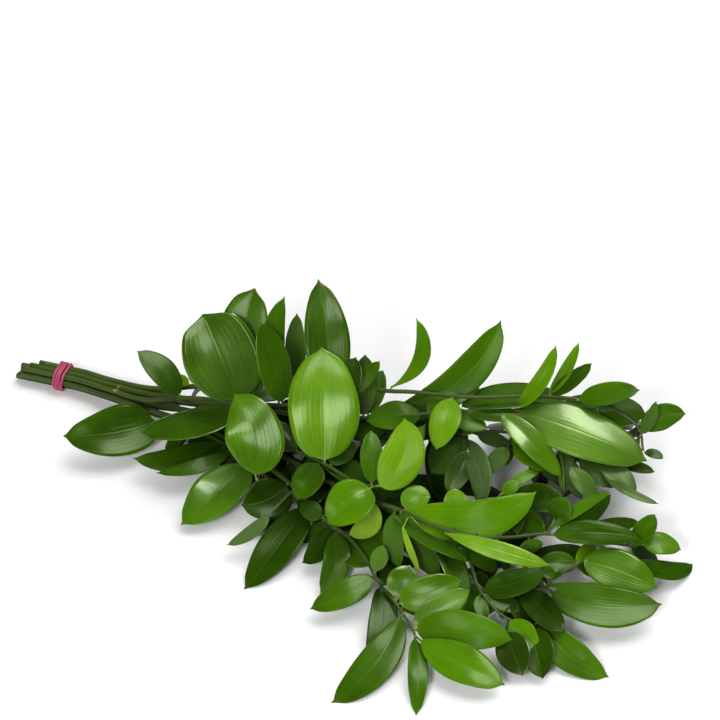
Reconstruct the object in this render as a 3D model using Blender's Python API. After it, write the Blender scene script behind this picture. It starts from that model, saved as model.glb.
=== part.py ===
"""A tied bunch of ten cut ruscus stems lying on a flat surface, in metres, +Z up.

The bunch is set out on the plane that a viewer standing in front of it sees. A place in it is
given by steps across and down that plane, counted from its top left corner, and by a height in
millimetres above the surface.
"""

import math
import random
from collections import namedtuple

import bmesh
import bpy
from mathutils import Matrix, Vector
from mathutils.bvhtree import BVHTree

MM = 0.001

# The viewed plane: how steeply and from how far it is looked down on, and the size of a step
VIEW_ELEVATION = math.radians(41)
VIEW_DISTANCE = 2.0
STEP = 0.8 * MM
MIDDLE_STEP = 360
PLANE_SHIFT = Vector((14 * MM, 193.1 * MM, 0))

# The stalks and the bundle that they form in the tie
STALK_RADIUS = 2.35 * MM
STALK_TIP_RADIUS = 0.9 * MM
STALK_PITCH = 5.0 * MM
STALK_TAPER = 1.25
STALK_SIDES = 6
TWIG_RADIUS = 1.0 * MM
TWIG_SIDES = 4
LONGEST_END = 16 * MM
ROUTE_SPACING = 30 * MM
BUNDLE_HEADING = math.radians(-19)
# Steps across and down, height in mm, and how far apart the stalks are for their pitch in the tie
BUNDLE_STATIONS = [(38, 371, 8.9, 1.02), (63, 376.3, 9.4, 1.0), (82, 380.3, 10.3, 1.02),
                   (110, 389, 13.2, 1.05), (150, 400, 19, 1.4)]

# The tie: windings of one rubber band
BAND_RADIUS = 1.15 * MM
BAND_GAP = 0.5 * MM
BAND_STATION = 1
BAND_CORNER = 22
BAND_SIDES = 6
# Each winding: how far along the bundle it lies and how it slants
BAND_WINDINGS = [(-3.3 * MM, 0.0), (-1.2 * MM, 0.04), (0.9 * MM, 0.0), (3.0 * MM, 0.14)]

# The leaves
BLADE_THICKNESS = 0.7 * MM
BLADE_END_WIDTH = 1.5 * MM
BLADE_ROWS = 5
WIDEST_AT = 0.44
TIP_FULLNESS = 0.72
MOST_WIDTH = 62 * MM
CLEARANCE = 0.45 * MM
SHORTEST_PETIOLE = 3 * MM
ROOT_DEPTH = 0.4 * MM
ROOT_INSET = 2.5 * MM
DEEPEST_PRESS = 9 * MM
TIP_PRESS = 1 * MM
# Where a blade is twisted neither way, and how near its root it may touch its own stem's leaves
TWIST_FROM = 0.3
ROOT_SHARE = 0.9

RIGHT = Vector((1, 0, 0))
AWAY = Vector((0, math.cos(VIEW_ELEVATION), -math.sin(VIEW_ELEVATION)))
UPWARD = Vector((0, math.sin(VIEW_ELEVATION), math.cos(VIEW_ELEVATION)))
EYE = PLANE_SHIFT - AWAY * VIEW_DISTANCE

Leaf = namedtuple("Leaf", "stem root base tip width facing arch bow fold twist widest full")

# Each stem: its place in the bundle (steps to the back, row above the surface), the length cut
# off short of the longest end in mm, its main stalk and its side twigs beyond the bundle
STEMS = {
    "a": dict(place=(1, 2), short=24, routes=[
        [(200, 386, 38), (245, 384, 48), (298, 382, 58), (345, 387, 66), (390, 391, 72),
         (415, 392, 75), (470, 397, 78), (545, 396, 78), (600, 404, 72), (637, 426, 63),
         (643, 450, 57)]]),
    "b": dict(place=(0, 2), short=10, routes=[
        [(200, 400, 38), (240, 407, 45), (300, 415, 54), (366, 418, 60), (425, 414, 66),
         (470, 411, 68), (515, 410, 68), (560, 404, 66), (600, 410, 62)]]),
    "j": dict(place=(-1, 2), short=5, routes=[
        [(190, 398, 47), (235, 402, 60), (283, 405, 70), (325, 402, 78), (352, 396, 82)]]),
    "h": dict(place=(1.5, 1), short=15, routes=[
        [(210, 406, 25), (260, 414, 30), (330, 428, 38), (400, 440, 44), (455, 434, 48),
         (505, 432, 50), (560, 446, 48), (594, 456, 45), (606, 479, 40)]]),
    "d": dict(place=(0.5, 1), short=1, routes=[
        [(205, 420, 22), (260, 444, 24), (330, 482, 32), (375, 501, 40), (402, 511, 44),
         (432, 525, 44), (475, 537, 42), (512, 537, 38), (546, 534, 36), (590, 540, 30),
         (636, 547, 24)],
        [(475, 537, 42), (486, 518, 38), (496, 500, 38), (508, 487, 40)],
        [(546, 534, 36), (559, 520, 37), (569, 508, 36)],
        [(590, 540, 30), (612, 552, 26), (629, 561, 22)]]),
    "c": dict(place=(-0.5, 1), short=3, routes=[
        [(205, 414, 33), (255, 432, 40), (295, 450, 46), (325, 464, 50), (355, 482, 54),
         (376, 487, 58)],
        [(235, 426, 37), (248, 452, 42), (257, 480, 44)]]),
    "e": dict(place=(-1.5, 1), short=3, routes=[
        [(205, 428, 23), (245, 450, 24), (290, 484, 24), (325, 520, 23), (348, 537, 22),
         (366, 560, 20), (379, 582, 18), (396, 604, 17), (411, 626, 16), (416, 638, 15)]]),
    "g": dict(place=(1, 0), short=14, routes=[
        [(210, 408, 13), (300, 444, 13), (380, 488, 14), (450, 528, 17), (500, 552, 20),
         (532, 572, 20), (552, 592, 18)],
        [(532, 572, 20), (558, 574, 21), (582, 562, 22)]]),
    "f": dict(place=(0, 0), short=8, routes=[
        [(210, 417, 13), (300, 463, 16), (370, 503, 24), (412, 518, 28), (438, 532, 29),
         (465, 550, 27), (480, 590, 22), (506, 618, 18), (538, 625, 15)]]),
    "i": dict(place=(-1, 0), short=0, routes=[
        [(190, 428, 13), (225, 444, 15), (246, 462, 17), (276, 484, 16), (303, 508, 15)],
        [(190, 428, 13), (172, 424, 17), (157, 421, 20)]]),
}

# Each leaf in view: stem, where its blade starts and its tip in steps, how far the tip rises
# over the start in mm, its width in steps as it is seen, and how its face leans right and up
LEAVES_IN_VIEW = [
    ("c", (325, 463), (322, 347), 62, 72, (0.05, 0.1), dict(arch=0.05, full=0.6)),
    ("c", (257, 482), (234, 394), 48, 58, (-0.1, 0.2), dict(arch=0.08, bow=-0.12, fold=4)),
    ("j", (239, 402), (203, 314), 58, 76, (-0.15, 0.1), dict(bow=-0.02, fold=4, full=0.4, widest=0.5)),
    ("j", (249, 397), (255, 288), 64, 54, (-0.2, 0.3), dict(bow=0.07, full=0.5)),
    ("j", (279, 400), (285, 296), 60, 26, (0.4, 0.2), dict(bow=0.12)),
    ("j", (283, 419), (261, 322), 56, 33, (0.5, -0.1), dict(arch=0.03)),
    ("j", (328, 402), (318, 279), 62, 46, (0.1, 0.2), dict(bow=-0.03)),
    ("j", (352, 398), (380, 361), 22, 17, (0.2, 0.2), dict()),
    ("j", (346, 402), (356, 357), 28, 27, (0.2, 0.2), dict()),
    ("j", (181, 400), (137, 351), 26, 26, (0.1, 0.9), dict(bow=-0.06)),
    ("b", (236, 410), (142, 433), -6, 44, (0.0, 0.4), dict(arch=0.06, bow=0.04, full=0.6)),
    ("i", (154, 421), (63, 436), 4, 52, (-0.1, 0.3), dict(arch=0.05, bow=0.07, widest=0.36)),
    ("c", (380, 486), (404, 418), 36, 44, (0.1, 0.2), dict(arch=0.03, bow=-0.16)),
    ("c", (376, 486), (328, 524), -14, 46, (-0.2, 0.3), dict(arch=0.12, fold=20)),
    ("c", (372, 484), (371, 430), 20, 24, (0.2, 0.5), dict()),
    ("c", (384, 484), (426, 424), 22, 24, (0.2, 0.3), dict()),
    ("c", (300, 452), (262, 420), 14, 26, (-0.2, 0.6), dict()),
    ("a", (297, 382), (297, 313), 42, 21, (-0.3, 0.2), dict()),
    ("a", (390, 391), (416, 318), 44, 18, (-0.4, -0.1), dict(arch=0, bow=-0.26, twist=60, widest=0.6)),
    ("a", (548, 395), (579, 342), 32, 16, (-0.3, 0.2), dict(bow=-0.07, fold=42)),
    ("a", (548, 400), (592, 363), 20, 17, (0.2, -0.3), dict()),
    ("a", (576, 401), (640, 390), 10, 23, (0.0, 0.5), dict(bow=0.01)),
    ("a", (636, 438), (656, 401), 22, 13, (0.3, 0.3), dict(bow=-0.05)),
    ("a", (643, 430), (686, 414), 8, 26, (0.2, 0.4), dict(bow=0.12)),
    ("a", (645, 453), (663, 459), -1, 10, (0.0, 0.6), dict(bow=0.1)),
    ("a", (202, 391), (191, 366), 18, 16, (-0.2, 0.3), dict()),
    ("a", (192, 389), (175, 376), 8, 11, (-0.2, 0.5), dict()),
    ("b", (401, 404), (501, 320), 52, 36, (0.3, 0.1), dict(bow=-0.145, fold=14, widest=0.56)),
    ("b", (424, 412), (480, 388), 10, 22, (0.0, 0.6), dict(bow=0.06)),
    ("b", (424, 415), (366, 421), -3, 28, (-0.1, 0.8), dict(arch=0.05)),
    ("a", (452, 399), (436, 450), -16, 31, (-0.1, 0.1), dict(arch=0.08)),
    ("b", (462, 406), (567, 400), 4, 38, (0.1, 0.5), dict(bow=0.06)),
    ("b", (515, 410), (556, 345), 42, 22, (-0.3, 0.1), dict(bow=-0.12, fold=42)),
    ("b", (515, 412), (647, 461), -24, 52, (0.1, 0.4), dict(arch=0.05, bow=0.01, fold=-14, full=0.6)),
    ("b", (502, 414), (562, 478), -32, 26, (0.2, 0.3), dict(arch=0.08)),
    ("h", (458, 429), (478, 425), 6, 12, (0.0, 0.5), dict()),
    ("b", (462, 414), (532, 420), -4, 17, (0.0, 0.6), dict()),
    ("b", (600, 412), (646, 414), 2, 28, (0.0, 0.4), dict(bow=0.02)),
    ("b", (363, 415), (365, 354), 34, 27, (0.2, 0.1), dict()),
    ("b", (368, 413), (383, 370), 24, 18, (0.3, 0.2), dict()),
    ("h", (552, 440), (622, 462), -8, 24, (0.0, 0.3), dict()),
    ("d", (402, 512), (431, 497), 6, 28, (0.0, 0.3), dict(bow=0.16)),
    ("d", (403, 514), (537, 491), 12, 42, (0.0, 0.3), dict(arch=0.06, bow=-0.17, fold=12)),
    ("d", (445, 533), (551, 566), -10, 19, (0.0, 0.3), dict(arch=0, bow=-0.02, fold=-10, widest=0.55)),
    ("d", (400, 514), (440, 578), -34, 30, (0.1, 0.1), dict(arch=0.05)),
    ("d", (394, 514), (399, 568), -34, 24, (-0.3, 0.1), dict(arch=0.05)),
    ("d", (403, 528), (420, 573), -20, 7, (-0.6, 0.2), dict()),
    ("d", (458, 516), (453, 488), 14, 26, (0.0, 0.4), dict()),
    ("d", (573, 506), (512, 494), -2, 30, (0.0, 0.5), dict(bow=-0.05, fold=22)),
    ("d", (556, 524), (566, 497), 12, 28, (0.1, 0.3), dict()),
    ("d", (527, 522), (532, 554), -14, 25, (0.1, 0.2), dict(arch=0.08)),
    ("d", (549, 527), (611, 492), 20, 12, (-0.1, 0.4), dict(bow=0.03)),
    ("d", (560, 529), (611, 494), 16, 24, (0.3, 0.1), dict(bow=-0.04)),
    ("d", (550, 535), (641, 539), -2, 25, (0.0, 0.4), dict(bow=0.04)),
    ("d", (585, 534), (640, 522), 8, 20, (0.0, 0.5), dict(bow=0.03)),
    ("d", (633, 548), (655, 514), 18, 22, (0.3, 0.3), dict()),
    ("d", (643, 543), (681, 550), -4, 22, (0.1, 0.6), dict(bow=0.05)),
    ("d", (634, 562), (693, 564), -22.6, 20, (0.0, 0.6), dict(bow=-0.14)),
    ("d", (500, 496), (520, 481), 4, 14, (0.0, 0.5), dict()),
    ("d", (509, 485), (541, 469), 9, 11, (0.0, 0.4), dict()),
    ("e", (350, 534), (364, 497), 20, 24, (-0.1, 0.1), dict(arch=0, bow=-0.36)),
    ("e", (384, 556), (342, 541), 0, 46, (0.0, 0.5), dict(arch=0.06, root=(381, 585))),
    ("e", (376, 574), (383, 545), 8, 18, (-0.1, 0.3), dict()),
    ("e", (330, 524), (302, 563), -14, 24, (-0.2, 0.4), dict(bow=0.15)),
    ("e", (338, 528), (320, 593), -18, 29, (0.3, 0.3), dict(bow=0.11)),
    ("e", (320, 524), (300, 503), 6, 20, (-0.3, 0.4), dict()),
    ("e", (378, 574), (310, 609), -8, 28, (-0.1, 0.5), dict(arch=0.06, bow=0.05)),
    ("e", (379, 585), (366, 655), -14, 29, (0.2, 0.5), dict(bow=0.12)),
    ("e", (400, 616), (331, 704), -17.5, 37, (-0.1, 0.5), dict(arch=0.04, bow=0.1, widest=0.5)),
    ("e", (414, 637), (416, 716), -15.5, 20, (0.6, 0.5), dict(bow=0.02, twist=50)),
    ("e", (395, 601), (410, 565), 14, 32, (0.0, 0.3), dict(arch=0.06)),
    ("e", (400, 603), (462, 580), 14, 34, (0.0, 0.3), dict(arch=0.06)),
    ("e", (412, 625), (470, 590), 20, 28, (0.1, 0.1), dict(arch=0.04)),
    ("e", (416, 628), (513, 640), 4, 36, (0.0, 0.5), dict(arch=0.06, bow=0.04)),
    ("e", (421, 641), (505, 685), -6, 38, (0.0, 0.6), dict(arch=0.05, bow=-0.03, widest=0.5)),
    ("f", (431, 527), (463, 627), -6, 34, (0.2, 0.1), dict(fold=18)),
    ("f", (506, 633), (523, 676), -10, 35, (0.0, 0.6), dict(arch=0.05)),
    ("f", (531, 628), (543, 679), -10, 35, (0.1, 0.6), dict(arch=0.04)),
    ("f", (541, 622), (609, 677), -15.2, 32, (0.1, 0.7), dict(arch=0.05, bow=-0.1)),
    ("f", (507, 619), (538, 650), -6, 28, (0.1, 0.3), dict(fold=28)),
    ("f", (478, 597), (485, 622), -6, 15, (0.1, 0.5), dict()),
    ("f", (479, 592), (545, 572), 8, 28, (0.0, 0.5), dict(bow=-0.05, fold=16)),
    ("g", (584, 560), (657, 588), -8, 41, (0.0, 0.4), dict(arch=0.05, bow=0.02)),
    ("g", (552, 593), (662, 604), -2, 42, (0.0, 0.6), dict(arch=0.04, bow=-0.10)),
    ("g", (545, 586), (608, 587), 2, 7, (0.0, 0.5), dict()),
    ("g", (580, 562), (539, 563), 2, 22, (0.0, 0.5), dict()),
    ("g", (576, 561), (597, 540), 12, 15, (0.1, 0.2), dict()),
    ("g", (524, 590), (563, 633), -8, 30, (0.1, 0.7), dict(arch=0.04)),
    ("g", (563, 580), (540, 574), 3, 12, (0.0, 0.5), dict()),
    ("h", (560, 452), (564, 497), -16, 7, (-0.6, 0.3), dict()),
    ("h", (514, 438), (566, 490), -18, 24, (0.1, 0.4), dict(bow=0.08)),
    ("h", (514, 450), (547, 471), -10, 16, (0.0, 0.5), dict()),
    ("h", (513, 436), (506, 466), -14, 12, (-0.2, 0.1), dict()),
    ("h", (474, 428), (513, 447), -5, 15, (0.0, 0.4), dict()),
    ("h", (508, 448), (485, 474), -10, 18, (-0.1, 0.4), dict()),
    ("h", (468, 434), (431, 474), -16, 36, (-0.1, 0.5), dict(arch=0.06)),
    ("h", (464, 440), (480, 508), -20, 23, (0.4, 0.3), dict(bow=0.1)),
    ("h", (600, 458), (636, 495), -10, 24, (0.2, 0.5), dict(arch=0.05)),
    ("h", (608, 480), (659, 504), -6, 9, (0.0, 0.5), dict(bow=-0.06)),
    ("h", (580, 453), (611, 488), -12, 28, (0.1, 0.5), dict()),
    ("h", (571, 468), (598, 503), -14, 20, (0.1, 0.4), dict(root=(576, 453))),
    ("h", (618, 463), (655, 472), 0, 12, (0.0, 0.4), dict()),
    ("i", (222, 440), (133, 458), 6, 26, (0.0, 0.5), dict(bow=0.14)),
    ("i", (216, 447), (180, 476), -4, 20, (-0.2, 0.5), dict()),
    ("i", (248, 463), (181, 525), -10, 46, (-0.1, 0.5), dict(arch=0.06, bow=0.04)),
    ("e", (292, 480), (241, 505), -2, 42, (0.1, 0.2), dict(bow=0.12)),
    ("e", (268, 515), (227, 545), -11, 14, (-0.1, 0.5), dict(bow=0.1)),
    ("i", (304, 508), (244, 590), -15.6, 38, (-0.1, 0.6), dict(arch=0.05, bow=0.04)),
    ("c", (318, 464), (297, 500), -14, 30, (-0.1, 0.4), dict()),
    ("f", (330, 480), (299, 512), -2, 26, (-0.1, 0.5), dict()),
    ("c", (330, 466), (354, 442), -6, 22, (0.1, 0.5), dict()),
    ("b", (392, 417), (354, 438), -14, 24, (0.0, 0.5), dict()),
    ("b", (430, 418), (412, 442), -16, 22, (0.0, 0.4), dict()),
    ("h", (468, 452), (448, 494), -20, 26, (0.1, 0.4), dict()),
    ("d", (546, 533), (512, 512), -4, 22, (0.0, 0.5), dict()),
    ("f", (510, 606), (560, 628), -10, 24, (0.0, 0.6), dict()),
    ("f", (484, 594), (521, 611), -6, 18, (0.0, 0.6), dict()),
    ("i", (228, 452), (156, 473), -2, 15, (0.0, 0.5), dict(bow=0.12)),
    ("b", (442, 413), (488, 429), -6, 20, (0.0, 0.5), dict()),
    ("h", (560, 450), (582, 500), -18, 20, (0.1, 0.4), dict()),
]

# The leaves behind and beneath: how many on each stem, and the range of their own sizes
LEAVES_BEHIND = dict(a=6, b=6, c=6, d=7, e=6, f=8, g=10, h=7, i=5, j=6)
BEHIND_LENGTH = (52 * MM, 78 * MM)
BEHIND_WIDTH_SHARE = (0.38, 0.5)
BEHIND_SPREAD = 0.75
# They stay inside this outline, in steps, and off these round gaps: across, down, radius
BODY_OUTLINE = [
    (188, 392), (200, 345), (262, 312), (318, 310), (340, 350), (368, 372), (385, 398), (440, 396),
    (500, 388), (560, 386), (625, 392), (665, 415), (640, 455), (618, 484), (606, 506), (640, 526),
    (668, 545), (655, 580), (645, 604), (600, 612), (562, 612), (556, 650), (545, 664), (505, 660),
    (470, 650), (440, 650), (412, 620), (396, 606), (375, 585), (335, 585), (312, 555), (262, 565),
    (206, 508), (160, 462), (170, 432), (190, 412)]
SEE_THROUGH = [(152, 421, 7), (200, 401, 7), (484, 450, 15), (510, 472, 18), (428, 461, 7),
               (544, 428, 5), (570, 460, 12), (590, 486, 8), (545, 520, 8), (554, 533, 7),
               (572, 576, 11), (360, 566, 9), (418, 628, 10), (580, 505, 8)]

# How far a leaf's tip is moved along the line of sight, its blade arched and its face turned,
# the smallest changes first, until the leaf lies clear of what is already there
TIP_MOVES = [0, 5, -5, 10, -10, 16, -16, 23, -23, 31, -31, 40, -40]
ARCH_MOVES = [0, 0.06, -0.06]
TURN_MOVES = [0, 14, -14, 28, -28]


def from_view(across, down, height):
    """Point at this height, in mm, that is seen at these steps of the viewed plane."""
    u, v = (across - MIDDLE_STEP) * STEP, (MIDDLE_STEP - down) * STEP
    ray = AWAY * VIEW_DISTANCE + RIGHT * u + UPWARD * v
    return EYE + ray * ((height * MM - EYE.z) / ray.z)


def seen_at(point):
    """Steps across and down at which this point is seen."""
    ray = point - EYE
    scale = VIEW_DISTANCE / ray.dot(AWAY)
    return (MIDDLE_STEP + ray.dot(RIGHT) * scale / STEP,
            MIDDLE_STEP - ray.dot(UPWARD) * scale / STEP)


def smooth_route(points, spacing):
    """Points about a spacing apart on a Catmull-Rom curve through these ones."""
    ends = [points[0] * 2 - points[1], *points, points[-1] * 2 - points[-2]]
    route = [points[0]]
    for before, start, end, after in zip(ends, ends[1:], ends[2:], ends[3:]):
        count = max(1, round((end - start).length / spacing))
        for i in range(1, count + 1):
            t = i / count
            route.append(0.5 * (2 * start + (end - before) * t
                                + (2 * before - 5 * start + 4 * end - after) * t ** 2
                                + (3 * start - before - 3 * end + after) * t ** 3))
    return route


def place_in_bundle(stem, station):
    """Centre of a stem's stalk at a station of the bundle, packed in rows of three, four, three."""
    across, down, height, spread = BUNDLE_STATIONS[station]
    back, row = STEMS[stem]["place"]
    pitch = STALK_PITCH * spread
    to_back = Vector((-math.sin(BUNDLE_HEADING), math.cos(BUNDLE_HEADING), 0))
    rise = (row - 1) * pitch * math.sqrt(3) / 2
    return from_view(across, down, height) + to_back * back * pitch + Vector((0, 0, rise))


def stem_routes(stem):
    """The stem's main stalk from its cut end to its last leaf, and its side twigs."""
    stations = [place_in_bundle(stem, i) for i in range(len(BUNDLE_STATIONS))]
    heading = (stations[0] - stations[1]).normalized()
    stations.insert(0, stations[0] + heading * (LONGEST_END - STEMS[stem]["short"] * MM))
    main, *sides = STEMS[stem]["routes"]
    routes = [smooth_route(stations + [from_view(*p) for p in main], ROUTE_SPACING)]
    for side in sides:
        start = min(routes[0], key=lambda p: (p - from_view(*side[0])).length)
        routes.append(smooth_route([start] + [from_view(*p) for p in side[1:]], ROUTE_SPACING))
    return routes


def nearest_seen(routes, across, down):
    """Point of these routes that is seen nearest to these steps."""
    best = None
    for route in routes:
        for start, end in zip(route, route[1:]):
            a, b = Vector(seen_at(start)), Vector(seen_at(end))
            line, gap = b - a, Vector((across, down)) - a
            most = 1 - ROOT_INSET / (end - start).length if end is route[-1] else 1
            share = min(most, max(0, gap.dot(line) / line.length_squared))
            off = (gap - line * share).length
            if best is None or off < best[0]:
                best = (off, start.lerp(end, share))
    return best[1]


def leaf_in_view(routes, entry):
    """The leaf that an entry of LEAVES_IN_VIEW describes."""
    stem, start, end, rise, width, lean, more = entry
    root = nearest_seen(routes[stem], *more.get("root", start))
    base = from_view(*start, root.z / MM)
    tip = from_view(*end, root.z / MM + rise)
    if (base - root).length < SHORTEST_PETIOLE or (base - root).dot(tip - base) < 0:
        base = root + (tip - root).normalized() * SHORTEST_PETIOLE
    root -= (base - root).normalized() * ROOT_DEPTH
    facing = (RIGHT * lean[0] + UPWARD * lean[1] - AWAY).normalized()
    along = (tip - base).normalized()
    face = (facing - along * facing.dot(along)).normalized()
    side = face.cross(along)
    seen_share = max(0.5, math.hypot(side.dot(RIGHT), side.dot(UPWARD)))
    scale = (base - EYE).dot(AWAY) / VIEW_DISTANCE
    true_width = min(MOST_WIDTH, width * STEP * scale / seen_share)
    return Leaf(stem, root, base, tip, true_width, face, more.get("arch", 0.04),
                more.get("bow", 0), more.get("fold", 10), more.get("twist", 0),
                more.get("widest", WIDEST_AT), more.get("full", TIP_FULLNESS))


def leaves_behind(routes):
    """Leaves that grow away from the viewer and down, drawn with a seed for each."""
    leaves = []
    for number, (stem, count) in enumerate(LEAVES_BEHIND.items()):
        main = routes[stem][0]
        first = len(main) // 3
        for i in range(count):
            draw = random.Random(1000 * number + i)
            place = first + (len(main) - 1 - first) * (i + draw.random()) / count
            root = main[int(place)].lerp(main[min(int(place) + 1, len(main) - 1)], place % 1)
            length = draw.uniform(*BEHIND_LENGTH)
            width = length * draw.uniform(*BEHIND_WIDTH_SHARE)
            onward = (main[min(int(place) + 1, len(main) - 1)] - main[int(place) - 1]).normalized()
            way = (AWAY * draw.uniform(0.5, 1.0) + onward * draw.uniform(0.2, 0.9)
                   + RIGHT * draw.uniform(-1, 1) * BEHIND_SPREAD
                   + UPWARD * draw.uniform(-1, 0.3) * BEHIND_SPREAD).normalized()
            down_to_floor = (root.z - 3 * MM) / length
            if way.z < -down_to_floor:
                way.z = -down_to_floor
                way.normalize()
            base = root + way * SHORTEST_PETIOLE
            facing = Vector((draw.uniform(-0.5, 0.5), draw.uniform(-0.5, 0.5), 1))
            face = (facing - way * facing.dot(way)).normalized()
            leaves.append(Leaf(stem, root, base, root + way * length, width, face,
                               draw.uniform(0.02, 0.1), draw.uniform(-0.06, 0.06),
                               draw.uniform(6, 18), draw.uniform(-20, 20),
                               WIDEST_AT, TIP_FULLNESS))
    return leaves


def settled_ways(leaf):
    """The leaf as drawn, then with small changes, the smallest ones first."""
    ways = []
    for i, move in enumerate(TIP_MOVES):
        for j, arch in enumerate(ARCH_MOVES):
            for k, turn in enumerate(TURN_MOVES):
                ways.append((i + 1.5 * j + 1.5 * k, move, arch, turn))
    for _, move, arch, turn in sorted(ways):
        tip = leaf.tip - (leaf.tip - EYE).normalized() * move * MM
        axis = (tip - leaf.base).normalized()
        face = leaf.facing - axis * leaf.facing.dot(axis)
        face = Matrix.Rotation(math.radians(turn), 3, axis) @ face.normalized()
        yield leaf._replace(tip=tip, facing=face, arch=leaf.arch + arch)


def outline_share(leaf, along):
    """Half width of the blade at a share of its length, for a widest half width of 1."""
    if along <= 0 or along >= 1:
        return 0
    at_base = leaf.full * leaf.widest / (1 - leaf.widest)
    to_tip = (1 - along) / (1 - leaf.widest)
    return (along / leaf.widest) ** at_base * to_tip ** leaf.full


def blade_point(leaf, along, across, lift):
    """Point of the blade, along from -1 at its root on the stalk over 0 at the base to 1 at the
    tip, across from -1 to 1 and lifted off its middle surface, pressed onto z = 0 where it lies."""
    chord = leaf.tip - leaf.base
    line = chord.normalized()
    side = leaf.facing.cross(line)
    swell = leaf.facing * leaf.arch + side * leaf.bow
    t = max(0, along)
    tangent = (chord + swell * 4 * (1 - 2 * t) * chord.length).normalized()
    face = (leaf.facing - tangent * leaf.facing.dot(tangent)).normalized()
    face = Matrix.Rotation(math.radians(leaf.twist) * (t - TWIST_FROM), 3, tangent) @ face
    side = face.cross(tangent)
    if along >= 0:
        centre = leaf.base + chord * t + swell * 4 * t * (1 - t) * chord.length
    else:
        centre = leaf.base.lerp(leaf.root, -along)
    half = max(BLADE_END_WIDTH / 2, leaf.width / 2 * outline_share(leaf, along))
    fold = math.radians(leaf.fold)
    out = side * across * math.cos(fold) + face * abs(across) * math.sin(fold)
    point = centre + out * half + face * lift
    point.z = max(point.z, 0 if lift <= 0 else lift * 2)
    return point


def outer_cells(spare):
    """A blade's outside as grid cells, for testing: rows along it, columns across, both faces."""
    rows = [-1 + spare] + [i / BLADE_ROWS for i in range(BLADE_ROWS + 1)]
    faces, count = [], len(rows) * 3
    for r in range(len(rows) - 1):
        for c in range(2):
            a = r * 3 + c
            faces.append((a, a + 1, a + 4, a + 3))
            faces.append((a + count, a + count + 3, a + count + 4, a + count + 1))
        for c in (0, 2):
            a = r * 3 + c
            faces.append((a, a + 3, a + 3 + count, a + count))
    return rows, faces


def test_shell(leaf, spare):
    """The leaf with the clearance round it, as a tree that others are tested against."""
    rows, faces = outer_cells(spare)
    lift = BLADE_THICKNESS / 2 + CLEARANCE
    grown = leaf._replace(width=leaf.width + 2 * CLEARANCE)
    points = []
    for side in (1, -1):
        for along in rows:
            points += [blade_point(grown, along, across, lift * side) for across in (-1, 0, 1)]
    return BVHTree.FromPolygons(points, faces), points


def too_deep(leaf):
    """Whether the blade, unpressed, would dip far below the surface."""
    reach = leaf.width / 2 * math.hypot(leaf.facing.x, leaf.facing.y)
    return leaf.tip.z < -TIP_PRESS or leaf.base.lerp(leaf.tip, WIDEST_AT).z < reach - DEEPEST_PRESS


def inside_outline(across, down):
    """Whether a seen place lies inside BODY_OUTLINE."""
    inside = False
    for (x1, y1), (x2, y2) in zip(BODY_OUTLINE, BODY_OUTLINE[1:] + BODY_OUTLINE[:1]):
        if (y1 > down) != (y2 > down) and across < x1 + (down - y1) * (x2 - x1) / (y2 - y1):
            inside = not inside
    return inside


def fills_gap(points):
    """Whether a leaf with these points shows outside the body of the bunch or in a gap of it."""
    for across, down in map(seen_at, points):
        if not inside_outline(across, down):
            return True
        if any(math.hypot(across - x, down - y) < radius for x, y, radius in SEE_THROUGH):
            return True
    return False


def box_of(points):
    """Lowest and highest corners of some points."""
    return (Vector(map(min, zip(*points))), Vector(map(max, zip(*points))))


def boxes_meet(a, b):
    """Whether two boxes share any space."""
    return all(a[0][i] <= b[1][i] and b[0][i] <= a[1][i] for i in range(3))


def settle(leaves, in_view, stalk_shells):
    """Each leaf in its first way that lies clear of the stalks and leaves of the other stems
    and, where it can, of its own stem's. A leaf with no clear way is left out."""
    settled, shells = [], list(stalk_shells)
    for number, leaf in enumerate(leaves):
        fallback = None
        for way in settled_ways(leaf):
            if too_deep(way):
                continue
            tree, points = test_shell(way, 0)
            if number >= in_view and fills_gap(points):
                continue
            clear_part, _ = test_shell(way, ROOT_SHARE)
            box = box_of(points)
            near = [s for s in shells if boxes_meet(s[1], box)]
            if any(s[2] != leaf.stem and tree.overlap(s[0]) for s in near):
                continue
            if any(s[2] == leaf.stem and clear_part.overlap(s[0]) for s in near):
                fallback = fallback or (way, tree, box)
                continue
            fallback = (way, tree, box)
            break
        if fallback:
            way, tree, box = fallback
            settled.append(way)
            shells.append((tree, box, leaf.stem))
    return settled


def material_for(name, colour, roughness):
    """A plain material with one colour and roughness."""
    material = bpy.data.materials.new(name)
    material.use_nodes = True
    shader = material.node_tree.nodes["Principled BSDF"]
    shader.inputs["Base Color"].default_value = (*colour, 1)
    shader.inputs["Roughness"].default_value = roughness
    shader.inputs["Metallic"].default_value = 0
    return material


def add_object(name, mesh, material):
    """A new object of this mesh in the scene."""
    mesh.materials.clear()
    mesh.materials.append(material)
    piece = bpy.data.objects.new(name, mesh)
    bpy.context.scene.collection.objects.link(piece)
    return piece


def tube_mesh(route, radii, sides, closed=False):
    """A tube of 4 or 6 sides along a route."""
    curve = bpy.data.curves.new("tube", "CURVE")
    curve.dimensions = "3D"
    curve.bevel_depth = max(radii)
    curve.bevel_resolution = (sides - 4) // 2
    curve.use_fill_caps = not closed
    spline = curve.splines.new("POLY")
    spline.points.add(len(route) - 1)
    for point, place, radius in zip(spline.points, route, radii):
        point.co = (*place, 1)
        point.radius = radius / max(radii)
    spline.use_cyclic_u = closed
    guide = bpy.data.objects.new("tube", curve)
    mesh = bpy.data.meshes.new_from_object(guide)
    bpy.data.objects.remove(guide)
    bpy.data.curves.remove(curve)
    weld_ends(mesh)
    return mesh


def weld_ends(mesh):
    """Joins the caps of a tube to its sides."""
    bm = bmesh.new()
    bm.from_mesh(mesh)
    bmesh.ops.remove_doubles(bm, verts=bm.verts, dist=0.01 * MM)
    face_outwards(bm)
    bm.to_mesh(mesh)
    bm.free()


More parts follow.
